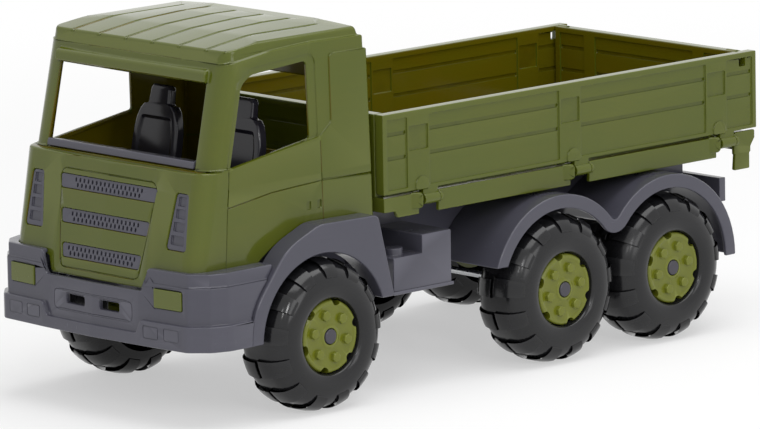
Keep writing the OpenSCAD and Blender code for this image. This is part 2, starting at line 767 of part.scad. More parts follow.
// Turns what is made for the left side's hinge line to the tailgate's hinge line
module at_tailgate() {
    translate([pin_x + pin_y, 0, 0]) rotate([0, 0, 90]) children();
}

module bed_floor() {
    side_y = bed_w / 2;
    tail = bed_rear_x + tailgate_inset;
    leg_low = rail_z - 9.5;
    color(olive) difference() {
        union() {
            difference() {
                union() {
                    block([tail, -side_y, rail_z], [bed_front_x, side_y, floor_z - rim_drop]);
                    block([tail + board_t + board_gap, -board_in_y + board_gap, rail_z],
                        [bed_front_x - board_t - board_gap, board_in_y - board_gap, floor_z]);
                }
                block([tail + grey_wall, -side_y + grey_wall, rail_z - 1],
                    [bed_front_x - grey_wall, side_y - grey_wall, floor_z - grey_wall]);
                both_mirrored() for (x = hinge_xs) hinge_notch(x);
                at_tailgate() for (y = tailgate_hinge_ys) hinge_notch(y);
            }
            both_mirrored() for (x = hinge_xs) hinge_pin(x);
            at_tailgate() for (y = tailgate_hinge_ys) hinge_pin(y);
            both_mirrored() along_y(side_y - grey_wall, side_y) polygon(rounded([
                [bed_rear_x + 6, leg_low, 0.8], [bed_rear_x + 18.5, leg_low, 0.8],
                [bed_rear_x + 17.5, rail_z + 3, 0], [bed_rear_x + 17.5, floor_z, 0],
                [bed_rear_x + 1.6, floor_z, 0.8], [bed_rear_x + 1.6, rail_z + 8, 0.8],
                [bed_rear_x + 6, rail_z + 2, 0.8]]));
            for (side = [-1, 1])
                block([tail + 4, side * 28 - 3, chassis_top], [bed_front_x - 2, side * 28 + 3, floor_z - 1]);
        }
        along_y(-bed_w, bed_w) polygon([[bed_front_x - 12, rail_z - 3], [bed_front_x - 8.5, rail_z + 3.8],
            [bed_front_x + 1, rail_z + 3.8], [bed_front_x + 1, rail_z - 3]]);
    }
}

// Sunk panels with their plank grooves on a board's face, for a board with its face at y = 0
module board_panels(bays) {
    low = board_bottom + 2.2;
    high = board_top - 3.3;
    for (bay = bays) {
        block([bay[0], -panel_depth, low], [bay[1], 1, high]);
        for (z = [low + 17.6, low + 31.2])
            block([bay[0] + 0.5, -panel_depth - 0.7, z - 1.1], [bay[1] - 0.5, 0, z + 1.1]);
    }
}

// Sunk square in each post, from post to post + post_w, on a board with its face at y = 0
module post_squares(posts, w) {
    for (x = posts)
        block([x + 1.4, -panel_depth, board_top - 22.4], [x + w - 1.4, 1, board_top - 8.6]);
}

// Bays between the hinge posts of a side board
function side_bays() =
    let(edges = concat([bed_rear_x + 3.2], [for (i = [2:-1:0]) each [hinge_xs[i], hinge_xs[i] + post_w]],
        [bed_front_x - 3.2]))
    [for (i = [0:2:6]) [edges[i], edges[i + 1]]];

module side_board() {
    boss_r = 5;
    color(olive) difference() {
        union() {
            block([bed_rear_x, board_in_y, board_bottom], [bed_front_x, bed_w / 2, board_top]);
            for (x = hinge_xs) {
                hinge_knuckle(x);
                intersection() {
                    rod_y(boss_r, x + post_w / 2 - 2, board_bottom + 2.5, board_in_y + 1, bed_w / 2 + 0.8);
                    block([x, board_in_y, board_bottom], [x + post_w, bed_w, board_top]);
                }
            }
        }
        for (x = hinge_xs) knuckle_bore(x);
        for (face = [0, 1]) translate([0, face ? bed_w / 2 : board_in_y, 0]) mirror([0, 1 - face, 0]) {
            board_panels(side_bays());
            post_squares(hinge_xs, post_w);
        }
        block([bed_rear_x + 8, board_in_y - 1, board_top - 8], [bed_rear_x + 13, bed_w, board_top - 3]);
    }
}

// Bays of the tailgate and front board across the bed
function end_bays() =
    let(half = board_in_y - board_gap, post = 9)
    [[-half + 4, -bed_w / 3.6 - post / 2], [-bed_w / 3.6 + post / 2, bed_w / 3.6 - post / 2],
     [bed_w / 3.6 + post / 2, half - 4]];

module tailgate() {
    half = board_in_y - board_gap;
    tail = bed_rear_x + tailgate_inset;
    color(olive) difference() {
        union() {
            block([tail, -half, board_bottom], [tail + board_t, half, board_top]);
            at_tailgate() for (y = tailgate_hinge_ys) hinge_knuckle(y);
            both_mirrored() rod_y(3, tail + board_t / 2, board_top - 2.4, half - 8, half);
        }
        at_tailgate() for (y = tailgate_hinge_ys) knuckle_bore(y);
        translate([tail, 0, 0]) rotate([0, 0, 90]) board_panels(end_bays());
        translate([tail + board_t, 0, 0]) rotate([0, 0, -90]) board_panels(end_bays());
    }
}

module bed_front_board() {
    half = board_in_y - board_gap;
    color(olive) difference() {
        block([bed_front_x - board_t, -half, floor_z - rim_drop], [bed_front_x, half, board_top]);
        translate([bed_front_x - board_t, 0, 0]) rotate([0, 0, 90]) board_panels(end_bays());
        translate([bed_front_x, 0, 0]) rotate([0, 0, -90]) board_panels(end_bays());
    }
}

// ---------- Nodes ----------

chassis_frame();
axle_bearings();
front_bumper();
front_fender();  // front_fender_left
mirror([0, 1, 0]) front_fender();  // front_fender_right
step_box();  // step_box_left
mirror([0, 1, 0]) step_box();  // step_box_right
rear_mudguard();  // rear_mudguard_left
mirror([0, 1, 0]) rear_mudguard();  // rear_mudguard_right
lamp_lenses();
cab_shell();
grille_inserts();
corner_vents();
cab_floor();
dashboard();
seat();  // seat_left
mirror([0, 1, 0]) seat();  // seat_right
bed_floor();
bed_front_board();
side_board();  // side_board_left
mirror([0, 1, 0]) side_board();  // side_board_right
tailgate();
axle(axle_front_x);  // axle_front
axle(axle_middle_x);  // axle_middle
axle(axle_rear_x);  // axle_rear
tyre(axle_front_x);  // tyre_front_left
mirror([0, 1, 0]) tyre(axle_front_x);  // tyre_front_right
tyre(axle_middle_x);  // tyre_middle_left
mirror([0, 1, 0]) tyre(axle_middle_x);  // tyre_middle_right
tyre(axle_rear_x);  // tyre_rear_left
mirror([0, 1, 0]) tyre(axle_rear_x);  // tyre_rear_right
hub(axle_front_x);  // hub_front_left
mirror([0, 1, 0]) hub(axle_front_x);  // hub_front_right
hub(axle_middle_x);  // hub_middle_left
mirror([0, 1, 0]) hub(axle_middle_x);  // hub_middle_right
hub(axle_rear_x);  // hub_rear_left
mirror([0, 1, 0]) hub(axle_rear_x);  // hub_rear_right
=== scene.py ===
"""Visual model of a toy six-wheeled cargo truck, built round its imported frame.

Every piece is in metres in the frame's own axes: +X is forward, +Y is the truck's
left and +Z is up. Moulded parts are softened copies of the frame's solids. Tyres,
hubs, seats and grilles are modelled here from primitives.
"""

import logging
import math
from contextlib import contextmanager
from dataclasses import dataclass
from enum import Enum
from itertools import pairwise
from typing import Callable, Iterator, Sequence

import bmesh
import bpy
import numpy as np
from mathutils import Matrix, Vector
from mathutils.bvhtree import BVHTree


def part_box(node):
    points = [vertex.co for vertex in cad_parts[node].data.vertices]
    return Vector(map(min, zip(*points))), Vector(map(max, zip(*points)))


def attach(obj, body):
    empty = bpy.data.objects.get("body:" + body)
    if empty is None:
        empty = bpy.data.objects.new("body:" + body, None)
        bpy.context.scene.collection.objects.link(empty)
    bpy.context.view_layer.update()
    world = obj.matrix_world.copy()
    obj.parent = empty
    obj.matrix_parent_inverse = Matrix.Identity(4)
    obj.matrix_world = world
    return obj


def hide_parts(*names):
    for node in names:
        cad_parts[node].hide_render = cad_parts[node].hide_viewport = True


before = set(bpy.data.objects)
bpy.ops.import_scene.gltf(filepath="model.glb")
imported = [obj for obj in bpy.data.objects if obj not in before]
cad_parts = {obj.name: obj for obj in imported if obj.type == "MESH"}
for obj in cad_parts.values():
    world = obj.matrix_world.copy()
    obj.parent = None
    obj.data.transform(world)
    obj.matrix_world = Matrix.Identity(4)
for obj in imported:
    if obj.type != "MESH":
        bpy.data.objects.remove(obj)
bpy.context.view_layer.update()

LOG = logging.getLogger("truck")
MM = 0.001
TURN = 2 * math.pi
# Corners that lie closer than this are one.
WELD = MM / 1000
MERGE = MM / 500
# Neighbouring faces that turn by less than this are one flat region.
FLAT = math.radians(0.4)
# Degrees up to which modelled round parts are shaded smooth.
ROUND_PARTS = 40
# What is narrower than this is an engraved line and keeps its sharp edges.
ENGRAVED = 0.95 * MM

Colour = tuple[float, float, float]
Outline = Sequence[tuple[float, float]]


class Pick(Enum):
    """What edit mode selects."""

    VERTICES = (True, False, False)
    FACES = (False, False, True)


class Body(Enum):
    """Bodies of the frame that pieces ride on."""

    TRUCK = "truck"
    LEFT_BOARD = "left_board"
    RIGHT_BOARD = "right_board"
    REAR_BOARD = "rear_board"


class Slot(Enum):
    """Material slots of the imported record."""

    OLIVE = "olive_plastic"
    HUB = "hub_plastic"
    GREY = "grey_plastic"
    SEAT = "seat_plastic"
    TYRE = "tyre_plastic"
    STEEL = "axle_steel"


# ---------- Modelling by hand ----------


def activate(*pieces: bpy.types.Object) -> None:
    """Selects only these pieces and makes the first one active."""
    bpy.ops.object.select_all(action="DESELECT")
    for piece in pieces:
        piece.select_set(True)
    bpy.context.view_layer.objects.active = pieces[0]


@contextmanager
def editing(piece: bpy.types.Object, pick: Pick = Pick.FACES) -> Iterator[None]:
    """Opens a piece in edit mode and closes it again.

    Args:
        piece: The piece to edit.
        pick: What is selected in edit mode.
    """
    activate(piece)
    bpy.context.tool_settings.mesh_select_mode = pick.value
    bpy.ops.object.mode_set(mode="EDIT")
    yield
    bpy.ops.object.mode_set(mode="OBJECT")


def choose_faces(
    piece: bpy.types.Object, test: Callable[[bpy.types.MeshPolygon], bool]
) -> None:
    """Selects the faces that pass the test and nothing else.

    Args:
        piece: The piece, in object mode.
        test: Says whether a face is wanted.
    """
    mesh = piece.data
    mesh.vertices.foreach_set("select", [False] * len(mesh.vertices))
    mesh.edges.foreach_set("select", [False] * len(mesh.edges))
    mesh.polygons.foreach_set("select", [test(face) for face in mesh.polygons])


def choose_corners(
    piece: bpy.types.Object, test: Callable[[bpy.types.MeshVertex], bool]
) -> None:
    """Selects the corners that pass the test and nothing else.

    Args:
        piece: The piece, in object mode.
        test: Says whether a corner is wanted.
    """
    choose_faces(piece, lambda face: False)
    corners = piece.data.vertices
    corners.foreach_set("select", [test(corner) for corner in corners])


def apply_modifier(piece: bpy.types.Object, kind: str, **settings: object) -> None:
    """Adds a modifier with its settings and applies it.

    Args:
        piece: The piece to change.
        kind: Blender's name for the modifier's type.
        settings: Values for the modifier's own properties.
    """
    activate(piece)
    modifier = piece.modifiers.new(kind.title(), kind)
    for key, value in settings.items():
        setattr(modifier, key, value)
    bpy.ops.object.modifier_apply(modifier=modifier.name)


def settle(piece: bpy.types.Object) -> None:
    """Puts a piece's place, turn and scale into its mesh."""
    activate(piece)
    bpy.ops.object.transform_apply(location=True, rotation=True, scale=True)


def copy_of(piece: bpy.types.Object, name: str) -> bpy.types.Object:
    """Copies a piece with a mesh of its own.

    Args:
        piece: The piece to copy.
        name: The copy's name.

    Returns:
        The copy, with no parent and no custom properties.
    """
    twin = bpy.data.objects.new(name, piece.data.copy())
    twin.data.name = name
    bpy.context.scene.collection.objects.link(twin)
    return twin


def join(pieces: Sequence[bpy.types.Object], name: str) -> bpy.types.Object:
    """Joins pieces into the first one and names it."""
    activate(*pieces)
    bpy.ops.object.join()
    pieces[0].name = name
    pieces[0].data.name = name
    return pieces[0]


def smooth(piece: bpy.types.Object, degrees: float = 32) -> None:
    """Shades a piece smooth except over sharp angles, with its large faces kept flat."""
    activate(piece)
    bpy.ops.object.shade_smooth_by_angle(angle=math.radians(degrees))
    apply_modifier(piece, "WEIGHTED_NORMAL", keep_sharp=True)


def flat_regions(mesh: bmesh.types.BMesh) -> list[np.ndarray]:
    """Finds the flat region that each face belongs to.

    Args:
        mesh: A closed mesh of merged triangles.

    Returns:
        For each face, by its index, the corners of its whole flat region.
    """
    regions: list[np.ndarray] = [np.empty((0, 3))] * len(mesh.faces)
    seen: set[int] = set()
    for first in mesh.faces:
        if first.index in seen:
            continue
        seen.add(first.index)
        region, rim = [first], [first]
        while rim:
            for edge in rim.pop().edges:
                if len(edge.link_faces) != 2 or edge.calc_face_angle(0) > FLAT:
                    continue
                for face in edge.link_faces:
                    if face.index not in seen:
                        seen.add(face.index)
                        region.append(face)
                        rim.append(face)
        corners = np.array([corner.co for face in region for corner in face.verts])
        for face in region:
            regions[face.index] = corners
    return regions


def room_across(edge: bmesh.types.BMEdge, regions: list[np.ndarray]) -> float:
    """Measures how far the narrower of an edge's two flat sides reaches from it."""
    along = edge.verts[1].co - edge.verts[0].co
    return min(
        float(np.ptp(regions[face.index] @ np.array(face.normal.cross(along).normalized())))
        for face in edge.link_faces
    )


def soften(
    piece: bpy.types.Object, width: float, segments: int = 2, degrees: float = 28
) -> None:
    """Rounds a piece's sharp edges, by less where a face has little room.

    Engraved lines keep their sharp edges, and corners that the rounding throws clear of
    the piece go back to its old surface.

    Args:
        piece: A closed piece with merged corners.
        width: Width of the rounding in millimetres.
        segments: Steps across the rounding.
        degrees: Edges that turn by less than this stay as they are.
    """
    mesh = bmesh.new()
    mesh.from_mesh(piece.data)
    weight = mesh.edges.layers.float.new("bevel_weight_edge")
    mesh.faces.index_update()
    regions = flat_regions(mesh)
    for edge in mesh.edges:
        if len(edge.link_faces) == 2 and edge.calc_face_angle(0) > math.radians(degrees):
            room = room_across(edge, regions)
            if room > ENGRAVED:
                edge[weight] = min(1.0, room / (3 * width * MM))
    mesh.to_mesh(piece.data)
    before = BVHTree.FromBMesh(mesh)
    mesh.free()
    apply_modifier(
        piece, "BEVEL", width=width * MM, segments=segments, limit_method="WEIGHT",
        use_clamp_overlap=False, loop_slide=False, miter_outer="MITER_ARC",
    )
    for corner in piece.data.vertices:
        nearest, _, _, distance = before.find_nearest(corner.co)
        if distance > 0.9 * width * MM:
            corner.co = nearest
    smooth(piece)


def cut(piece: bpy.types.Object, cutter: bpy.types.Object) -> None:
    """Cuts one piece out of another and throws the cutter away."""
    apply_modifier(
        piece, "BOOLEAN", object=cutter, operation="DIFFERENCE", solver="EXACT"
    )
    bpy.data.objects.remove(cutter)


def row_of(piece: bpy.types.Object, count: int, step: Vector) -> None:
    """Repeats a piece in a straight row."""
    apply_modifier(
        piece, "ARRAY", count=count, use_relative_offset=False,
        use_constant_offset=True, constant_offset_displace=step,
    )


def lathe(
    name: str,
    outline: Outline,
    steps: int,
    sweep: float = 360,
    start: float = 0,
    fill_ends: bool = False,
) -> bpy.types.Object:
    """Spins a closed outline about the Y axis.

    Args:
        name: The piece's name.
        outline: Corners as (radius, place along Y) in millimetres.
        steps: Steps of the whole sweep.
        sweep: Degrees that the outline turns through.
        start: Degrees at which it starts, from +X towards -Z.
        fill_ends: Whether the two ends are closed, for less than a full turn.

    Returns:
        The closed ring or segment.
    """
    angle = math.radians(start)
    ray = Vector((math.cos(angle), 0, -math.sin(angle)))
    points = [ray * radius * MM + Vector((0, place * MM, 0)) for radius, place in outline]
    bpy.ops.mesh.primitive_plane_add(size=MM, location=points[0])
    piece = bpy.context.object
    piece.name = piece.data.name = name
    with editing(piece, Pick.VERTICES):
        bpy.ops.mesh.select_all(action="SELECT")
        bpy.ops.mesh.merge(type="CENTER")
        for here, there in pairwise([*points, points[0]]):
            bpy.ops.mesh.extrude_region_move(
                TRANSFORM_OT_translate={"value": there - here}
            )
        bpy.ops.mesh.select_all(action="SELECT")
        bpy.ops.mesh.remove_doubles(threshold=WELD)
        bpy.ops.mesh.select_all(action="SELECT")
        bpy.ops.mesh.spin(
            steps=steps, angle=math.radians(sweep), center=(0, 0, 0), axis=(0, 1, 0)
        )
        bpy.ops.mesh.select_all(action="SELECT")
        bpy.ops.mesh.remove_doubles(threshold=WELD)
        if fill_ends:
            bpy.ops.mesh.select_all(action="DESELECT")
            bpy.ops.mesh.select_non_manifold()
            bpy.ops.mesh.fill()
        bpy.ops.mesh.select_all(action="SELECT")
        bpy.ops.mesh.normals_make_consistent(inside=False)
    settle(piece)
    return piece


def merge_corners(piece: bpy.types.Object) -> None:
    """Merges a copied solid's loose corners."""
    with editing(piece, Pick.VERTICES):
        bpy.ops.mesh.select_all(action="SELECT")
        bpy.ops.mesh.remove_doubles(threshold=MERGE)


def fit_out(piece: bpy.types.Object, body: str, slot: Slot, *nodes: str) -> None:
    """Ties a finished piece to its body and hides the frame solids it stands for.

    Args:
        piece: The finished piece.
        body: Name of the frame's body.
        slot: Material slot of the record; not used.
        nodes: Frame nodes that the piece replaces.
    """
    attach(piece, body)
    if nodes:
        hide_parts(*nodes)
    LOG.info("%s rides on %s: %d faces", piece.name, body, len(piece.data.polygons))


# ---------- Shader effects ----------


@dataclass
class Wiring:
    """A node tree with short calls that add nodes and join them."""

    tree: bpy.types.NodeTree

    def add(self, kind: str, **settings: object) -> bpy.types.Node:
        """Adds a node and sets its properties."""
        node = self.tree.nodes.new(kind)
        for key, value in settings.items():
            setattr(node, key, value)
        return node

    def join(self, source: object, target: bpy.types.NodeSocket) -> None:
        """Feeds a socket from another one or sets its value."""
        if isinstance(source, bpy.types.NodeSocket):
            self.tree.links.new(source, target)
        else:
            target.default_value = source

    def place(self, scale: Sequence[float]) -> bpy.types.NodeSocket:
        """Gives the object's own coordinates, stretched by a scale along each axis."""
        coordinates = self.add("ShaderNodeTexCoord")
        mapping = self.add("ShaderNodeMapping")
        self.join(coordinates.outputs["Object"], mapping.inputs["Vector"])
        mapping.inputs["Scale"].default_value = scale
        return mapping.outputs["Vector"]

    def noise(
        self, place: object, scale: object, detail: float = 3
    ) -> bpy.types.NodeSocket:
        """Adds a noise pattern.

        Args:
            place: Socket with the coordinates.
            scale: Waves a metre, as a number or a socket.
            detail: Number of finer octaves.

        Returns:
            The pattern's value from 0 to 1.
        """
        node = self.add("ShaderNodeTexNoise")
        node.inputs["Detail"].default_value = detail
        self.join(place, node.inputs["Vector"])
        self.join(scale, node.inputs["Scale"])
        return node.outputs["Fac"]

    def maths(self, operation: str, first: object, second: object) -> bpy.types.NodeSocket:
        """Adds a maths node."""
        node = self.add("ShaderNodeMath", operation=operation)
        self.join(first, node.inputs[0])
        self.join(second, node.inputs[1])
        return node.outputs["Value"]

    def span(self, value: object, low: float, high: float) -> bpy.types.NodeSocket:
        """Stretches the values between low and high to 0 to 1."""
        node = self.add("ShaderNodeMapRange", interpolation_type="SMOOTHSTEP")
        self.join(value, node.inputs["Value"])
        node.inputs["From Min"].default_value = low
        node.inputs["From Max"].default_value = high
        return node.outputs["Result"]

    def mix(self, share: object, first: object, second: object) -> bpy.types.NodeSocket:
        """Mixes two colours by a share."""
        node = self.add("ShaderNodeMix", data_type="RGBA")
        self.join(share, node.inputs["Factor"])
        # The node has sockets for other kinds of value before its colour ones.
        self.join(first, node.inputs[6])
        self.join(second, node.inputs[7])
        return node.outputs[2]


class Effect(Enum):
    """Shader effects that the finishes share."""

    FLOW = "moulding flow marks"
    # Painted highlight along outer edges and painted shade in corners, with a light dusting
    # on the tyre instead.
    EDGES = "edge tone and corner dust"
    SMUDGES = "handling smudges and hairlines"
    SKIN = "moulded skin"


class EffectLibrary:
    """Builds each shared effect once as a node group."""

    def __init__(self) -> None:
        """Starts with no groups."""
        self.groups: dict[Effect, bpy.types.NodeTree] = {}

    def get(self, effect: Effect) -> bpy.types.NodeTree:
        """Gives an effect's node group, building it at its first use."""
        if effect not in self.groups:
            build = {
                Effect.FLOW: self.flow,
                Effect.EDGES: self.edges,
                Effect.SMUDGES: self.smudges,
                Effect.SKIN: self.skin,
            }[effect]
            self.groups[effect] = build(effect.value)
        return self.groups[effect]

    @staticmethod
    def start(
        name: str, inputs: Sequence[tuple[str, str]], output: tuple[str, str]
    ) -> tuple[Wiring, dict[str, bpy.types.NodeSocket], bpy.types.NodeSocket]:
        """Makes an empty group with its sockets.

        Args:
            name: The group's name.
            inputs: Name and kind of each input.
            output: Name and kind of the one output.

        Returns:
            The wiring, the inputs by name, and the output's socket.
        """
        tree = bpy.data.node_groups.new(name, "ShaderNodeTree")
        sockets = [(*given, "INPUT") for given in inputs] + [(*output, "OUTPUT")]
        for label, kind, way in sockets:
            tree.interface.new_socket(label, in_out=way, socket_type=f"NodeSocket{kind}")
        wiring = Wiring(tree)
        entry = wiring.add("NodeGroupInput")
        leave = wiring.add("NodeGroupOutput")
        return wiring, dict(entry.outputs.items()), leave.inputs[output[0]]

    def flow(self, name: str) -> bpy.types.NodeTree:
        """Cloudy streaks left where the plastic flowed into its mould."""
        wiring, given, leave = self.start(
            name, [("Colour", "Color"), ("Streak", "Color"), ("Amount", "Float")],
            ("Colour", "Color"),
        )
        clouds = wiring.noise(wiring.place((1, 1, 1.6)), 14.0, 4)
        streaks = wiring.noise(wiring.place((9, 9, 60)), 6.0, 3)
        both = wiring.maths("ADD", clouds, wiring.maths("MULTIPLY", streaks, 0.35))
        share = wiring.maths("MULTIPLY", wiring.span(both, 0.5, 0.9), given["Amount"])
        wiring.join(wiring.mix(share, given["Colour"], given["Streak"]), leave)
        return wiring.tree

    def edges(self, name: str) -> bpy.types.NodeTree:
        """Painted highlight along outer edges, and a corner colour: painted shade, with a
        light dusting on the tyre.
        """
        wiring, given, leave = self.start(
            name,
            [
                ("Colour", "Color"), ("Edge", "Color"), ("Dust", "Color"),
                ("Amount", "Float"),
            ],
            ("Colour", "Color"),
        )
        bend = wiring.add("ShaderNodeNewGeometry").outputs["Pointiness"]
        patches = wiring.noise(wiring.place((1, 1, 1)), 90.0, 4)
        # Share of the painted highlight on convex edges.
        outer = wiring.maths("MULTIPLY", wiring.span(bend, 0.51, 0.6), given["Amount"])
        # Share of the corner colour in concave hollows: painted shade, and a light dusting
        # on the tyre.
        hollow = wiring.maths("SUBTRACT", 1.0, wiring.span(bend, 0.4, 0.49))
        corner_dust_and_shade = wiring.maths("MULTIPLY", hollow, wiring.span(patches, 0.35, 0.75))
        corner_dust_and_shade = wiring.maths("MULTIPLY", corner_dust_and_shade, given["Amount"])
        edge_highlighted = wiring.mix(outer, given["Colour"], given["Edge"])
        wiring.join(wiring.mix(corner_dust_and_shade, edge_highlighted, given["Dust"]), leave)
        return wiring.tree

    def smudges(self, name: str) -> bpy.types.NodeTree:
        """Roughness that varies with finger marks and hairline scratches."""
        wiring, given, leave = self.start(
            name, [("Roughness", "Float"), ("Spread", "Float")], ("Roughness", "Float")
        )
        marks = wiring.span(wiring.noise(wiring.place((1, 1, 1)), 38.0, 5), 0.35, 0.75)
        hairs = wiring.noise(wiring.place((30, 420, 420)), 3.0, 2)
        crossed = wiring.noise(wiring.place((420, 160, 30)), 3.0, 2)
        hairs = wiring.span(wiring.maths("MAXIMUM", hairs, crossed), 0.68, 0.74)
        worn = wiring.maths("ADD", marks, wiring.maths("MULTIPLY", hairs, 0.8))
        worn = wiring.maths("MULTIPLY", worn, given["Spread"])
        wiring.join(wiring.maths("ADD", given["Roughness"], worn), leave)
        return wiring.tree

    def skin(self, name: str) -> bpy.types.NodeTree:
        """Height of a moulded skin: slow sink ripples and a fine grain."""
        wiring, given, leave = self.start(
            name,
            [("Ripple", "Float"), ("Grain", "Float"), ("Grain scale", "Float")],
            ("Height", "Float"),
        )
        slow = wiring.noise(wiring.place((1, 1, 1)), 26.0, 1)
        fine = wiring.noise(wiring.place((1, 1, 1)), given["Grain scale"], 3)
        slow = wiring.maths("MULTIPLY", slow, given["Ripple"])
        fine = wiring.maths("MULTIPLY", fine, given["Grain"])
        wiring.join(wiring.maths("ADD", slow, fine), leave)
        return wiring.tree


EFFECTS = EffectLibrary()


# ---------- Finishes ----------


@dataclass(frozen=True)
class Finish:
    """One procedural finish.

    Colours are linear. Ripple and grain are heights in millimetres.
    """

    name: str
    colour: Colour
    streak: Colour
    # Painted highlight along outer edges.
    edge: Colour
    # Corner colour: painted shade, and a light dusting on the tyre.
    dust_and_shade: Colour
    flow: float = 0.5
    # Share of the painted edge highlight and of the corner colour.
    highlight_dust_and_shade: float = 0.5
    roughness: float = 0.2
    spread: float = 0.08
    ripple: float = 0.06
    grain: float = 0.004
    grain_scale: float = 900.0
    metallic: float = 0.0
    ior: float = 1.43

    def material(self) -> bpy.types.Material:
        """Gives this finish's material, building it at its first use."""
        known = bpy.data.materials.get(self.name)
        return known or self.build()

    def build(self) -> bpy.types.Material:
        """Builds the material from the shared effects.

        Returns:
            The finished material.
        """
        material = bpy.data.materials.new(self.name)
        material.use_nodes = True
        wiring = Wiring(material.node_tree)
        surface = material.node_tree.nodes["Principled BSDF"]
        flowed = self.effect(
            wiring, Effect.FLOW, Colour=(*self.colour, 1), Streak=(*self.streak, 1),
            Amount=self.flow,
        )
        # Painted highlight on outer edges, and painted shade in corners that is a light
        # dusting on the tyre.
        toned = self.effect(
            wiring, Effect.EDGES, Colour=flowed, Edge=(*self.edge, 1),
            Dust=(*self.dust_and_shade, 1), Amount=self.highlight_dust_and_shade,
        )
        wiring.join(toned, surface.inputs["Base Color"])
        smudged = self.effect(
            wiring, Effect.SMUDGES, Roughness=self.roughness, Spread=self.spread
        )
        wiring.join(smudged, surface.inputs["Roughness"])
        height = self.effect(
            wiring, Effect.SKIN, Ripple=self.ripple, Grain=self.grain,
            **{"Grain scale": self.grain_scale},
        )
        bump = wiring.add("ShaderNodeBump")
        bump.inputs["Distance"].default_value = MM
        wiring.join(height, bump.inputs["Height"])
        wiring.join(bump.outputs["Normal"], surface.inputs["Normal"])
        surface.inputs["Metallic"].default_value = self.metallic
        surface.inputs["IOR"].default_value = self.ior
        return material

    @staticmethod
    def effect(wiring: Wiring, effect: Effect, **values: object) -> bpy.types.NodeSocket:
        """Places a shared effect with this finish's values and gives its output."""
        node = wiring.add("ShaderNodeGroup", node_tree=EFFECTS.get(effect))
        for label, value in values.items():
            wiring.join(value, node.inputs[label])
        return node.outputs[0]

    def dress(self, piece: bpy.types.Object) -> None:
        """Makes this the piece's only finish."""
        piece.data.materials.clear()
        piece.data.materials.append(self.material())

    def add_to(
        self, piece: bpy.types.Object, test: Callable[[bpy.types.MeshPolygon], bool]
    ) -> None:
        """Adds this finish to the faces that pass the test."""
        piece.data.materials.append(self.material())
        index = len(piece.data.materials) - 1
        for face in piece.data.polygons:
            if test(face):
                face.material_index = index


# Each finish's fourth colour is a painted edge highlight and its fifth a corner colour:
# painted shade, but a light dusting on the tyre.
OLIVE = Finish(
    "olive_gloss_plastic", (0.08, 0.1, 0.006), (0.095, 0.107, 0.006),
    (0.14, 0.16, 0.03), (0.05, 0.062, 0.008), roughness=0.1, ripple=0.1,
)
# A browner copy of the olive for faces that look into the bed and the cab: painted shade.
OLIVE_PAINTED_SHADE = Finish(
    "olive_gloss_plastic_painted_shade", (0.108, 0.092, 0.002), (0.13, 0.084, 0.001),
    (0.12, 0.11, 0.01), (0.045, 0.036, 0.002), roughness=0.12, ripple=0.1,
)
LENS_OLIVE = Finish(
    "olive_lamp_plastic", (0.072, 0.09, 0.008), (0.08, 0.095, 0.008),
    (0.16, 0.18, 0.04), (0.06, 0.07, 0.01), roughness=0.2, ripple=0.03,
)
HUB_OLIVE = Finish(
    "light_olive_hub_plastic", (0.14, 0.156, 0.01), (0.155, 0.168, 0.01),
    (0.26, 0.29, 0.06), (0.1, 0.11, 0.01), roughness=0.18, ripple=0.03,
)
SLATE = Finish(
    "slate_grey_plastic", (0.068, 0.067, 0.088), (0.08, 0.078, 0.1),
    (0.14, 0.138, 0.17), (0.05, 0.049, 0.06), roughness=0.15, ripple=0.07,
)
SEAT_GREY = Finish(
    "dark_seat_plastic", (0.017, 0.016, 0.022), (0.022, 0.02, 0.028),
    (0.05, 0.05, 0.06), (0.015, 0.015, 0.016), roughness=0.12, ripple=0.05,
)
CAP_GREY = Finish(
    "axle_cap_plastic", (0.05, 0.047, 0.06), (0.055, 0.052, 0.064),
    (0.1, 0.1, 0.12), (0.03, 0.03, 0.03), roughness=0.3, ripple=0.02,
)
TYRE_BLACK = Finish(
    "black_tyre_plastic", (0.009, 0.009, 0.01), (0.013, 0.013, 0.014),
    (0.03, 0.03, 0.032), (0.025, 0.024, 0.023), roughness=0.13, spread=0.12,
    ripple=0.07, grain=0.006,
)
AXLE_STEEL = Finish(
    "drawn_axle_steel", (0.56, 0.57, 0.58), (0.5, 0.51, 0.53),
    (0.7, 0.7, 0.71), (0.3, 0.29, 0.28), roughness=0.25, metallic=1.0, ripple=0.01,
    ior=1.5,
)


# ---------- Moulded parts ----------


@dataclass
class Moulding:
    """A moulded part: a softened copy of a frame solid.

    Sizes are in millimetres.
    """

    node: str
    finish: Finish
    slot: Slot
    body: Body = Body.TRUCK
    edge: float = 0.8
    segments: int = 2

    def build(self) -> bpy.types.Object:
        """Copies the solid, rounds its edges and dresses it.

        Returns:
            The moulded piece.
        """
        piece = copy_of(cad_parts[self.node], f"{self.node}_moulding")
        merge_corners(piece)
        self.shape(piece)
        soften(piece, self.edge, self.segments)
        self.detail(piece)
        self.finish.dress(piece)
        self.decorate(piece)
        fit_out(piece, self.body.value, self.slot, self.node)
        return piece

    def shape(self, piece: bpy.types.Object) -> None:
        """Changes the copy before its edges are rounded."""

    def detail(self, piece: bpy.types.Object) -> None:
        """Changes the copy after its edges are rounded."""

    def decorate(self, piece: bpy.types.Object) -> None:
        """Adds further finishes to some faces."""


@dataclass
class Board(Moulding):
    """A bed board whose inner faces have a browner olive as painted shade."""

    inward: Vector = Vector((0, 0, 0))

    def decorate(self, piece: bpy.types.Object) -> None:
        """Gives the faces that look into the bed the browner olive of painted shade."""
        OLIVE_PAINTED_SHADE.add_to(piece, lambda face: face.normal.dot(self.inward) > 0.5)


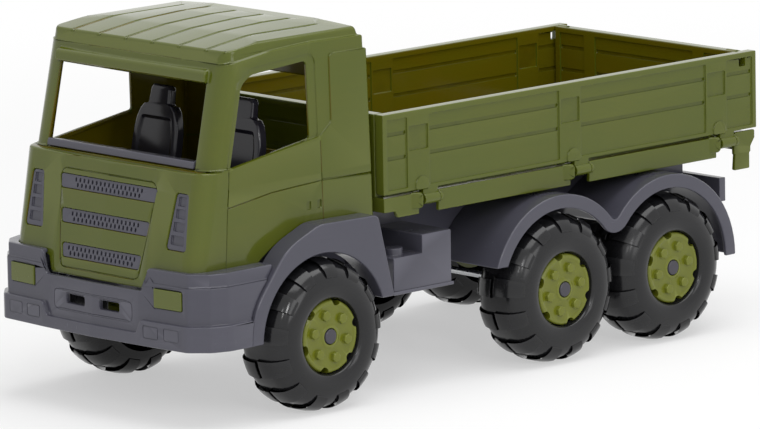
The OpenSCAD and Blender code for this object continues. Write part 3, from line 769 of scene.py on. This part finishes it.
@dataclass
class CabShell(Moulding):
    """The cab's one-piece shell, whose inward faces get a browner olive as painted shade.

    Faces under the least area, in square millimetres, are edges and keep the outer
    finish.
    """

    least_area: float = 4.0

    def decorate(self, piece: bpy.types.Object) -> None:
        """Gives the faces that look into the cab the browner olive of painted shade."""
        low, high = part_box(self.node)
        middle = (low + high) / 2
        OLIVE_PAINTED_SHADE.add_to(
            piece,
            lambda face: face.area > self.least_area * MM * MM
            and (face.center - middle).dot(face.normal) < 0,
        )


@dataclass
class Bumper(Moulding):
    """The front bumper with engraved outlines on its middle and its lip.

    Sizes are in millimetres, set back from its front or up from the floor. Beyond
    lip_bend_y the lip slopes back by lip_slope, which is a turn of lip_turn degrees.
    """

    line: float = 0.5
    depth: float = 0.4
    cutter_t: float = 2.0
    corner_steps: int = 4
    plate: tuple[float, float] = (65.0, 11.5)
    plate_r: float = 3.0
    plate_z: float = 61.8
    plate_back: float = 3.6
    plate_bulge: float = 1.2
    panel: tuple[float, float] = (11.6, 7.2)
    panel_r: float = 1.2
    panel_z: float = 52.8
    panel_places: tuple[float, float] = (48.6, 64.4)
    lip_back: float = 1.4
    lip_bend_y: float = 38.0
    lip_slope: float = 0.0545
    lip_turn: float = 3.1

    def shape(self, piece: bpy.types.Object) -> None:
        """Engraves a plate round the slots and two small panels on each side."""
        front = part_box(self.node)[1].x / MM
        place = Vector((front - self.plate_back, 0, self.plate_z))
        self.engrave(piece, self.plate, place, self.plate_r, self.plate_bulge)
        for side in (-1, 1):
            for panel_y in self.panel_places:
                lip_x = front - self.lip_back - (panel_y - self.lip_bend_y) * self.lip_slope
                place = Vector((lip_x, panel_y * side, self.panel_z))
                turn = self.lip_turn * side
                self.engrave(piece, self.panel, place, self.panel_r, 0, turn)

    def engrave(
        self,
        piece: bpy.types.Object,
        size: tuple[float, float],
        place: Vector,
        radius: float,
        bulge: float,
        turn: float = 0,
    ) -> None:
        """Engraves the outline of one rounded rectangle.

        Args:
            piece: The bumper.
            size: Width and height of the outline.
            place: Its centre on the face it is cut into.
            radius: Radius of its corners.
            bulge: How far the face's middle stands out from the outline's ends.
            turn: Degrees that the face is turned about Z.
        """
        width, height = size
        bpy.ops.mesh.primitive_plane_add(size=MM, rotation=(0, TURN / 4, 0))
        cutter = bpy.context.object
        cutter.scale = (height, width, 1)
        settle(cutter)
        with editing(cutter, Pick.VERTICES):
            bpy.ops.mesh.select_all(action="SELECT")
            bpy.ops.mesh.bevel(
                offset=radius * MM, segments=self.corner_steps, affect="VERTICES"
            )
            bpy.ops.mesh.select_all(action="SELECT")
            bpy.ops.mesh.bisect(plane_co=(0, 0, 0), plane_no=(0, 1, 0))
        with editing(cutter):
            bpy.ops.mesh.select_all(action="SELECT")
            bpy.ops.mesh.inset(thickness=self.line * MM)
            bpy.ops.mesh.delete(type="FACE")
        apply_modifier(cutter, "SOLIDIFY", thickness=self.cutter_t * MM, offset=1)
        choose_corners(cutter, lambda corner: abs(corner.co.y) < MERGE)
        with editing(cutter, Pick.VERTICES):
            bpy.ops.transform.translate(value=(bulge * MM, 0, 0))
        cutter.matrix_world = Matrix.Translation(
            (place - Vector((self.depth, 0, 0))) * MM
        ) @ Matrix.Rotation(math.radians(turn), 4, "Z")
        bpy.context.view_layer.update()
        settle(cutter)
        cut(piece, cutter)


@dataclass
class FaceFrame:
    """The cab's leaning front face, which the grilles and vents sit in.

    Sizes are in millimetres from the face's foot, and angles in degrees.
    """

    foot_z: float = 75.0
    lean: float = 10.11

    def matrix(self) -> Matrix:
        """Gives the face's own axes: x out of the face, y to the left, z up it."""
        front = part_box("cab_shell")[1].x
        return Matrix.Translation((front, 0, self.foot_z * MM)) @ Matrix.Rotation(
            math.radians(-self.lean), 4, "Y"
        )

    def send(self, piece: bpy.types.Object, local: Matrix | None = None) -> None:
        """Moves a piece made at the origin onto the face."""
        piece.matrix_world = self.matrix() @ (local or Matrix.Identity(4))
        bpy.context.view_layer.update()
        settle(piece)


@dataclass
class GrilleInserts(Moulding):
    """Three grille bars with two staggered rows of small oval holes each."""

    holes: int = 17
    pitch: float = 3.4
    hole_r: float = 0.82
    tall: float = 1.6
    rows: tuple[float, float] = (5.35, 2.45)
    bars: int = 3
    bar_low: float = 9.6
    bar_step: float = 18.9
    pin_length: float = 9.0

    def detail(self, piece: bpy.types.Object) -> None:
        """Cuts the holes through the bars."""
        face = FaceFrame()
        for bar in range(self.bars):
            for row, height in enumerate(self.rows):
                count = self.holes - row
                bpy.ops.mesh.primitive_cylinder_add(
                    vertices=12, radius=self.hole_r * MM, depth=self.pin_length * MM,
                    rotation=(0, TURN / 4, 0), scale=(self.tall, 1, 1),
                )
                pin = bpy.context.object
                settle(pin)
                row_of(pin, count, Vector((0, self.pitch * MM, 0)))
                left = -(count - 1) / 2 * self.pitch
                up = self.bar_low + self.bar_step * bar + height
                face.send(pin, Matrix.Translation(Vector((0, left, up)) * MM))
                cut(piece, pin)
        smooth(piece)


@dataclass
class CornerVents(Moulding):
    """The two tapering corner vents with four sunk cells each.

    A vent's inner and outer edges are given at its foot, with how far they draw in
    towards its top.
    """

    places: tuple[float, ...] = (29.2, 36.6, 43.8, 50.6)
    foot: float = 23.5
    height: float = 31.5
    inner: tuple[float, float] = (-8.0, 4.0)
    outer: tuple[float, float] = (7.5, 2.0)
    rim: float = 2.2
    cell_h: float = 5.3
    cell_depth: float = 2.2
    cell_x: float = -0.9
    cell_round: float = 0.5
    corner: tuple[float, float] = (-1.3, 59.0)
    turn: float = 2.2

    def detail(self, piece: bpy.types.Object) -> None:
        """Sinks the cells into both vents."""
        face = FaceFrame()
        for side in (-1, 1):
            corner = Matrix.Translation(
                Vector((self.corner[0], self.corner[1] * side, 0)) * MM
            ) @ Matrix.Rotation(math.radians(self.turn * side), 4, "Z")
            for place in self.places:
                share = (place - self.foot) / self.height
                low = self.inner[0] + self.inner[1] * share + self.rim
                high = self.outer[0] - self.outer[1] * share - self.rim
                bpy.ops.mesh.primitive_cube_add(
                    size=MM, scale=(self.cell_depth, high - low, self.cell_h)
                )
                cell = bpy.context.object
                settle(cell)
                apply_modifier(cell, "BEVEL", width=self.cell_round * MM, segments=2)
                centre = Vector((self.cell_x, (low + high) / 2 * side, place))
                face.send(cell, corner @ Matrix.Translation(centre * MM))
                cut(piece, cell)
        smooth(piece)


# ---------- Seats ----------


@dataclass
class Seat:
    """A moulded seat with a leaning back, sloping shoulders and a headrest.

    Sizes are in millimetres and angles in degrees. Outlines are (height, half width).
    """

    side: str
    lean: float = 11.0
    thickness: float = 6.5
    reach: float = 22.0
    base_w: float = 37.2
    base_h: float = 13.0
    base_rear: float = 3.8
    base_rim: float = 4.0
    base_slope: float = 1.5
    base_sink: float = 1.4
    base_round: float = 1.8
    panel_top: float = 52.0
    panel_rim: float = 4.2
    panel_slope: float = 1.3
    panel_depth: float = 1.1
    head_share: float = 0.86
    back_round: float = 1.5
    segments: int = 3
    sharp: float = 20.0
    outline: tuple[tuple[float, float], ...] = (
        (1.6, 18.9), (20.0, 18.8), (32.0, 18.7), (42.0, 18.2), (49.0, 16.6), (54.0, 14.4),
        (56.6, 11.8),
    )
    headrest: tuple[tuple[float, float], ...] = ((56.8, 8.6), (65.6, 8.1), (67.9, 6.4))

    def build(self) -> bpy.types.Object:
        """Models the seat and dresses it.

        Returns:
            The seat.
        """
        node = f"seat_{self.side}"
        low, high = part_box(node)
        foot = Vector((high.x - self.reach * MM, (low.y + high.y) / 2, low.z))
        back = self.back()
        back.matrix_world = Matrix.Translation(foot) @ Matrix.Rotation(
            math.radians(-self.lean), 4, "Y"
        )
        bpy.context.view_layer.update()
        settle(back)
        seat = join([back, self.cushion(foot)], f"seat_{self.side}_shell")
        smooth(seat, ROUND_PARTS)
        SEAT_GREY.dress(seat)
        fit_out(seat, Body.TRUCK.value, Slot.SEAT, node)
        return seat

    def back(self) -> bpy.types.Object:
        """Draws the back upwards, sinks its middle and rounds it all over.

        Returns:
            The upright back, with its front at x = 0 and its foot at z = 0.
        """
        (height, half), *rest = self.outline
        bpy.ops.mesh.primitive_cube_add(
            size=MM, scale=(self.thickness, 2 * half, rest[0][0] - height),
            location=(-self.thickness / 2 * MM, 0, (rest[0][0] + height) / 2 * MM),
        )
        back = bpy.context.object
        settle(back)
        choose_faces(back, lambda face: face.normal.z > 0.9)
        with editing(back):
            bpy.ops.transform.resize(value=(1, rest[0][1] / half, 1))
            height, half = rest[0]
            for level, width in (*rest[1:], *self.headrest):
                thinner = self.head_share if (level, width) == self.headrest[0] else 1
                bpy.ops.mesh.extrude_region_move(
                    TRANSFORM_OT_translate={"value": (0, 0, (level - height) * MM)}
                )
                bpy.ops.transform.resize(value=(thinner, width / half, 1))
                height, half = level, width
        choose_faces(
            back,
            lambda face: face.normal.x > 0.9 and face.center.z < self.panel_top * MM,
        )
        with editing(back):
            bpy.ops.mesh.inset(thickness=self.panel_rim * MM)
            bpy.ops.mesh.inset(
                thickness=self.panel_slope * MM, depth=-self.panel_depth * MM
            )
        soften(back, self.back_round, self.segments, self.sharp)
        return back

    def cushion(self, foot: Vector) -> bpy.types.Object:
        """Shapes the seat's base with a sunk middle."""
        start, stop = foot.x - self.base_rear * MM, foot.x + self.reach * MM
        bpy.ops.mesh.primitive_cube_add(
            size=1, scale=(stop - start, self.base_w * MM, self.base_h * MM),
            location=((start + stop) / 2, foot.y, foot.z + self.base_h / 2 * MM),
        )
        cushion = bpy.context.object
        settle(cushion)
        choose_faces(cushion, lambda face: face.normal.z > 0.9)
        with editing(cushion):
            bpy.ops.mesh.inset(thickness=self.base_rim * MM)
            bpy.ops.mesh.inset(thickness=self.base_slope * MM, depth=-self.base_sink * MM)
        soften(cushion, self.base_round, self.segments, self.sharp)
        return cushion


# ---------- Wheels ----------


@dataclass
class Tyre:
    """A hollow tyre with two rows of tread blocks.

    Outlines are (radius, distance behind the outer face) in millimetres.
    """

    width: float = 37.0
    steps: int = 96
    blocks: int = 13
    block_sweep: float = 14.6
    block_steps: int = 3
    block_round: float = 0.45
    groove_half: float = 1.2

    def wall(self) -> list[tuple[float, float]]:
        """Gives the closed outline of the hollow wall."""
        outer = [
            (20.7, 6.5), (21.1, 2.9), (21.7, 1.7), (22.9, 0.8), (25.3, 0.15), (28.3, 0.0),
            (31.5, 0.45), (34.2, 1.5), (36.6, 3.1), (38.6, 5.4), (40.1, 8.6), (40.8, 12.2),
            (41.0, 16.8),
        ]
        across = [(radius, self.width - depth) for radius, depth in outer[:4:-1]]
        inner = [
            (28.8, self.width), (28.8, 34.8), (34.0, 33.6), (37.2, 30.5), (38.6, 25.0),
            (38.6, 12.0), (36.2, 7.0), (32.0, 3.6), (28.0, 2.6), (23.4, 3.4), (23.0, 6.5),
        ]
        return [*outer, *across, *inner]

    def block_outline(self) -> list[tuple[float, float]]:
        """Gives the closed outline of one block of the outer row."""
        crown = [
            (33.0, 1.3), (33.7, 0.65), (35.4, 0.95), (37.2, 2.0), (39.4, 4.1), (41.3, 7.1),
            (42.3, 10.8), (42.8, 14.2), (42.8, self.width / 2 - self.groove_half),
        ]
        root = [(39.6, self.width / 2 - self.groove_half), (39.2, 11.0), (36.2, 5.4)]
        return crown + root

    def build(self) -> bpy.types.Object:
        """Models one tyre at the origin, with its outer face at y = 0 looking along +Y.

        Returns:
            The tyre, with a block in the middle of its foot.
        """
        wall = lathe("tyre_wall", [(r, -depth) for r, depth in self.wall()], self.steps)
        smooth(wall, ROUND_PARTS)
        start = 90 - self.block_sweep / 2
        block = lathe(
            "tyre_block", [(r, -depth) for r, depth in self.block_outline()],
            self.block_steps, self.block_sweep, start, fill_ends=True,
        )
        apply_modifier(
            block, "BEVEL", width=self.block_round * MM, segments=2, limit_method="ANGLE",
            angle_limit=math.radians(40), use_clamp_overlap=True,
        )
        smooth(block, ROUND_PARTS)
        far = copy_of(block, "tyre_block_far")
        far.matrix_world = Matrix.Translation((0, -self.width * MM, 0)) @ Matrix.Rotation(
            TURN / 2, 4, "Z"
        )
        bpy.context.view_layer.update()
        settle(far)
        pieces = [wall]
        for turn in range(self.blocks):
            for source in (block, far):
                twin = copy_of(source, "tyre_block_turned")
                twin.matrix_world = Matrix.Rotation(TURN * turn / self.blocks, 4, "Y")
                pieces.append(twin)
        bpy.context.view_layer.update()
        for source in (block, far):
            bpy.data.objects.remove(source)
        tyre = join(pieces, "tyre_pattern")
        settle(tyre)
        TYRE_BLACK.dress(tyre)
        return tyre


@dataclass
class Hub:
    """A dished hub with six hexagonal bolts and six notches in its rim.

    Outlines are (radius, distance behind the hub's face) in millimetres.
    """

    steps: int = 96
    bolts: int = 6
    bolt_circle: float = 12.5
    bolt_r: float = 3.05
    bolt_h: float = 2.1
    bolt_root: float = 1.5
    bolt_rim: float = 0.75
    bolt_crown: float = 0.3
    bolt_round: float = 0.4
    face_back: float = 0.75
    notch_r: float = 3.0
    notch_depth: float = 7.0
    notch_circle: float = 20.3

    def outline(self) -> list[tuple[float, float]]:
        """Gives the closed outline of disc, drum and sleeve."""
        return [
            (4.5, 3.0), (4.5, 0.5), (4.8, 0.1), (5.5, 0.0), (6.4, 0.3), (7.2, 0.75),
            (16.6, 0.75), (17.6, 0.3), (18.4, 0.0), (19.4, 0.2), (20.1, 0.8), (20.5, 1.8),
            (20.5, 22.0), (18.3, 22.0), (18.3, 9.0), (15.4, 9.0), (15.4, 3.4), (6.2, 3.4),
            (6.2, 31.0), (2.2, 31.0), (2.2, 3.0),
        ]

    def build(self) -> bpy.types.Object:
        """Models one hub at the origin, with its face at y = 0 looking along +Y.

        Returns:
            The hub, with a bolt straight behind the axle, towards -X.
        """
        disc = lathe("hub_disc", [(r, -depth) for r, depth in self.outline()], self.steps)
        for turn in range(self.bolts):
            angle = TURN * (turn + 0.5) / self.bolts
            bpy.ops.mesh.primitive_cylinder_add(
                vertices=32, radius=self.notch_r * MM, depth=2 * self.notch_depth * MM,
                rotation=(TURN / 4, 0, 0),
                location=(
                    -math.cos(angle) * self.notch_circle * MM, 0,
                    math.sin(angle) * self.notch_circle * MM,
                ),
            )
            notch = bpy.context.object
            settle(notch)
            cut(disc, notch)
        smooth(disc, ROUND_PARTS)
        bolt = self.bolt()
        pieces = [disc]
        for turn in range(self.bolts):
            twin = copy_of(bolt, "hub_bolt_turned")
            twin.matrix_world = Matrix.Rotation(TURN * turn / self.bolts, 4, "Y")
            pieces.append(twin)
        bpy.context.view_layer.update()
        bpy.data.objects.remove(bolt)
        hub = join(pieces, "hub_pattern")
        settle(hub)
        HUB_OLIVE.dress(hub)
        return hub

    def bolt(self) -> bpy.types.Object:
        """Models one bolt head with a small crown on top."""
        height = self.bolt_h + self.bolt_root
        top = self.bolt_h - self.face_back
        bpy.ops.mesh.primitive_cylinder_add(
            vertices=6, radius=self.bolt_r * MM, depth=height * MM,
            rotation=(-TURN / 4, 0, 0),
            location=(-self.bolt_circle * MM, (top - height / 2) * MM, 0),
        )
        bolt = bpy.context.object
        settle(bolt)
        choose_faces(bolt, lambda face: face.normal.y > 0.9)
        with editing(bolt):
            bpy.ops.mesh.inset(thickness=self.bolt_rim * MM)
            bpy.ops.transform.translate(value=(0, self.bolt_crown * MM, 0))
        apply_modifier(
            bolt, "BEVEL", width=self.bolt_round * MM, segments=2, limit_method="ANGLE",
            angle_limit=math.radians(20), use_clamp_overlap=True,
        )
        smooth(bolt, ROUND_PARTS)
        return bolt


@dataclass
class Axle(Moulding):
    """A steel axle with a plastic cap pushed on each end."""

    rod_r: float = 2.3

    def decorate(self, piece: bpy.types.Object) -> None:
        """Gives the rod between the caps the steel finish."""
        low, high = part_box(self.node)
        middle = (low + high) / 2
        reach = self.rod_r * MM
        AXLE_STEEL.add_to(
            piece,
            lambda face: all(
                math.hypot(
                    piece.data.vertices[index].co.x - middle.x,
                    piece.data.vertices[index].co.z - middle.z,
                ) < reach
                for index in face.vertices
            ),
        )


@dataclass
class WheelSet:
    """The six wheels, each a tyre and a hub on its own body.

    Turns say how far each axle's hubs are turned at rest, in degrees.
    """

    hub_turns: tuple[tuple[str, float], ...] = (
        ("front", 46.0), ("middle", 12.0), ("rear", 11.0),
    )

    def build(self) -> None:
        """Models one tyre and one hub and puts copies in all six places."""
        tyre, hub = Tyre().build(), Hub().build()
        for place, turn in self.hub_turns:
            for side, facing in (("left", 1), ("right", -1)):
                self.fit(tyre, "tyre", place, side, facing, 0, Slot.TYRE)
                self.fit(hub, "hub", place, side, facing, turn, Slot.HUB)
        for pattern in (tyre, hub):
            bpy.data.objects.remove(pattern)

    @staticmethod
    def fit(
        pattern: bpy.types.Object, kind: str, place: str, side: str, facing: int,
        turn: float, slot: Slot,
    ) -> None:
        """Copies a pattern to one wheel.

        Args:
            pattern: The tyre or hub at the origin.
            kind: "tyre" or "hub".
            place: Which axle the wheel is on.
            side: "left" or "right".
            facing: 1 where the wheel's face looks along +Y, -1 along -Y.
            turn: Degrees that the piece is turned about its axle.
            slot: The record's material slot.
        """
        node = f"{kind}_{place}_{side}"
        low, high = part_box(node)
        centre = (low + high) / 2
        face = high.y if facing > 0 else low.y
        piece = copy_of(pattern, f"{node}_moulding")
        piece.matrix_world = (
            Matrix.Translation((centre.x, face, centre.z))
            @ Matrix.Rotation(0 if facing > 0 else TURN / 2, 4, "Z")
            @ Matrix.Rotation(math.radians(turn), 4, "Y")
        )
        bpy.context.view_layer.update()
        settle(piece)
        fit_out(piece, f"wheel_{place}_{side}", slot, node)


# ---------- The truck ----------


class Truck:
    """Builds every sub-assembly of the truck in order."""

    def mouldings(self) -> list[Moulding]:
        """Gives the moulded parts that are softened copies of frame solids."""
        grey = [
            Bumper("front_bumper", SLATE, Slot.GREY, edge=0.9),
            Moulding("chassis_frame", SLATE, Slot.GREY, edge=0.5),
            Moulding("axle_bearings", SLATE, Slot.GREY, edge=0.4),
            Moulding("cab_floor", SLATE, Slot.GREY, edge=0.4),
            Moulding("dashboard", SLATE, Slot.GREY, edge=0.6),
            GrilleInserts("grille_inserts", SLATE, Slot.GREY, edge=0.35),
            CornerVents("corner_vents", SLATE, Slot.GREY, edge=0.4),
        ]
        for side in ("left", "right"):
            grey += [
                Moulding(f"front_fender_{side}", SLATE, Slot.GREY, edge=1.1, segments=3),
                Moulding(f"step_box_{side}", SLATE, Slot.GREY, edge=0.6),
                Moulding(f"rear_mudguard_{side}", SLATE, Slot.GREY, edge=1.0, segments=3),
            ]
        olive = [
            CabShell("cab_shell", OLIVE, Slot.OLIVE, edge=0.9),
            Moulding("lamp_lenses", LENS_OLIVE, Slot.OLIVE, edge=0.5),
            Moulding("bed_floor", OLIVE, Slot.OLIVE, edge=0.5),
            Board(
                "bed_front_board", OLIVE, Slot.OLIVE, Body.TRUCK, 0.5,
                inward=Vector((-1, 0, 0)),
            ),
            Board(
                "side_board_left", OLIVE, Slot.OLIVE, Body.LEFT_BOARD, 0.5,
                inward=Vector((0, -1, 0)),
            ),
            Board(
                "side_board_right", OLIVE, Slot.OLIVE, Body.RIGHT_BOARD, 0.5,
                inward=Vector((0, 1, 0)),
            ),
            Board(
                "tailgate", OLIVE, Slot.OLIVE, Body.REAR_BOARD, 0.5,
                inward=Vector((1, 0, 0)),
            ),
        ]
        axles = [
            Axle(f"axle_{place}", CAP_GREY, Slot.STEEL, edge=0.8, segments=3)
            for place in ("front", "middle", "rear")
        ]
        return grey + olive + axles

    def build(self) -> None:
        """Builds the mouldings, the seats and the wheels."""
        for moulding in self.mouldings():
            moulding.build()
        for side in ("left", "right"):
            Seat(side).build()
        WheelSet().build()


# ---------- The studio ----------


@dataclass
class SoftBox:
    """One soft rectangular lamp aimed at the truck. Sizes and places are in metres."""

    name: str
    place: tuple[float, float, float]
    size: tuple[float, float]
    watts: float
    aim: tuple[float, float, float] = (0, 0, 0.09)

    def build(self) -> None:
        """Hangs the lamp and points it at its aim."""
        lamp = bpy.data.lights.new(self.name, "AREA")
        lamp.shape = "RECTANGLE"
        lamp.size, lamp.size_y = self.size
        lamp.energy = self.watts
        holder = bpy.data.objects.new(self.name, lamp)
        holder.location = self.place
        holder.rotation_euler = (
            (Vector(self.aim) - Vector(self.place)).to_track_quat("-Z", "Y").to_euler()
        )
        bpy.context.scene.collection.objects.link(holder)


@dataclass
class Camera:
    """The viewing camera. Places are in metres, angles in degrees."""

    place: tuple[float, float, float] = (2.9008, 3.0787, 0.8531)
    towards: tuple[float, float, float] = (-0.6748, -0.7162, -0.178)
    roll: float = -1.03
    lens: float = 358.1
    sensor: float = 36.0
    shift: tuple[float, float] = (-0.0031, -0.0138)
    clip: tuple[float, float] = (0.1, 50.0)

    def build(self) -> None:
        """Makes the camera and hands it to the scene."""
        data = bpy.data.cameras.new("view_camera")
        data.lens = self.lens
        data.sensor_width = self.sensor
        data.shift_x, data.shift_y = self.shift
        data.clip_start, data.clip_end = self.clip
        holder = bpy.data.objects.new("view_camera", data)
        forward = Vector(self.towards).normalized()
        level = forward.cross(Vector((0, 0, 1))).normalized()
        upright = level.cross(forward)
        turn = math.radians(self.roll)
        right = level * math.cos(turn) + upright * math.sin(turn)
        up = upright * math.cos(turn) - level * math.sin(turn)
        axes = Matrix((right, up, -forward)).transposed().to_4x4()
        holder.matrix_world = Matrix.Translation(self.place) @ axes
        bpy.context.scene.collection.objects.link(holder)
        bpy.context.scene.camera = holder


@dataclass
class Studio:
    """A pale floor, soft lamps and a white surround.

    Ambient is the surround's light where it isn't seen. The floor's own glow grows to
    full white between the two distances of the fade, in metres.
    """

    floor_size: float = 40.0
    ambient: float = 0.5
    glow: float = 0.5
    fade: tuple[float, float] = (0.35, 1.3)
    lamps: tuple[SoftBox, ...] = (
        SoftBox("top_softbox", (-0.1, 0.2, 1.6), (1.7, 1.3), 17.5),
        SoftBox("side_softbox", (0.1, 2.3, 0.9), (1.2, 1.0), 8.0),
        SoftBox("front_strip", (1.71, 1.33, 1.25), (0.16, 0.4), 2.5),
        SoftBox("side_strip", (1.15, 1.84, 1.25), (0.16, 0.4), 4.5),
    )

    def build(self) -> None:
        """Sets up camera, lamps, floor and surround."""
        Camera().build()
        for lamp in self.lamps:
            lamp.build()
        self.floor()
        self.surround()
        bpy.context.scene.view_settings.view_transform = "Standard"

    @staticmethod
    def seen(wiring: Wiring) -> bpy.types.NodeSocket:
        """Gives 1 for rays that come from the eye or off a glossy face, and else 0."""
        path = wiring.add("ShaderNodeLightPath")
        seen = path.outputs["Is Camera Ray"]
        for ray in ("Is Glossy Ray", "Is Transmission Ray"):
            seen = wiring.maths("MAXIMUM", seen, path.outputs[ray])
        return seen

    def floor(self) -> None:
        """Lays the floor, which keeps the truck's shadow and fades to white."""
        bpy.ops.mesh.primitive_plane_add(size=self.floor_size)
        floor = bpy.context.object
        floor.name = "studio_floor"
        material = bpy.data.materials.new("studio_floor")
        material.use_nodes = True
        wiring = Wiring(material.node_tree)
        material.node_tree.nodes.clear()
        matt = wiring.add("ShaderNodeBsdfDiffuse")
        place = wiring.place((1, 1, 1))
        grain = wiring.noise(place, 3.0, 2)
        pale = wiring.mix(grain, (0.93, 0.93, 0.935, 1), (0.95, 0.95, 0.95, 1))
        wiring.join(pale, matt.inputs["Color"])
        glow = wiring.add("ShaderNodeEmission")
        reach = wiring.add("ShaderNodeVectorMath", operation="LENGTH")
        wiring.join(place, reach.inputs[0])
        far = wiring.span(reach.outputs["Value"], self.fade[0], self.fade[1])
        share = wiring.maths("MULTIPLY", far, 1 - self.glow)
        share = wiring.maths("ADD", share, self.glow)
        share = wiring.maths("MULTIPLY", share, self.seen(wiring))
        blend = wiring.add("ShaderNodeMixShader")
        wiring.join(share, blend.inputs["Fac"])
        wiring.join(matt.outputs["BSDF"], blend.inputs[1])
        wiring.join(glow.outputs["Emission"], blend.inputs[2])
        leave = wiring.add("ShaderNodeOutputMaterial")
        wiring.join(blend.outputs["Shader"], leave.inputs["Surface"])
        floor.data.materials.append(material)

    def surround(self) -> None:
        """Makes the world white where it is seen and a plain soft light elsewhere."""
        world = bpy.data.worlds.new("studio_surround")
        world.use_nodes = True
        bpy.context.scene.world = world
        wiring = Wiring(world.node_tree)
        world.node_tree.nodes.clear()
        seen = self.seen(wiring)
        rest = wiring.maths("MULTIPLY", wiring.maths("SUBTRACT", 1.0, seen), self.ambient)
        background = wiring.add("ShaderNodeBackground")
        background.inputs["Color"].default_value = (1, 1, 1, 1)
        wiring.join(wiring.maths("ADD", seen, rest), background.inputs["Strength"])
        leave = wiring.add("ShaderNodeOutputWorld")
        wiring.join(background.outputs["Background"], leave.inputs["Surface"])


def main() -> None:
    """Builds the studio and the truck."""
    logging.basicConfig(level=logging.INFO, format="%(message)s")
    Studio().build()
    Truck().build()


if __name__ == "__main__":
    main()
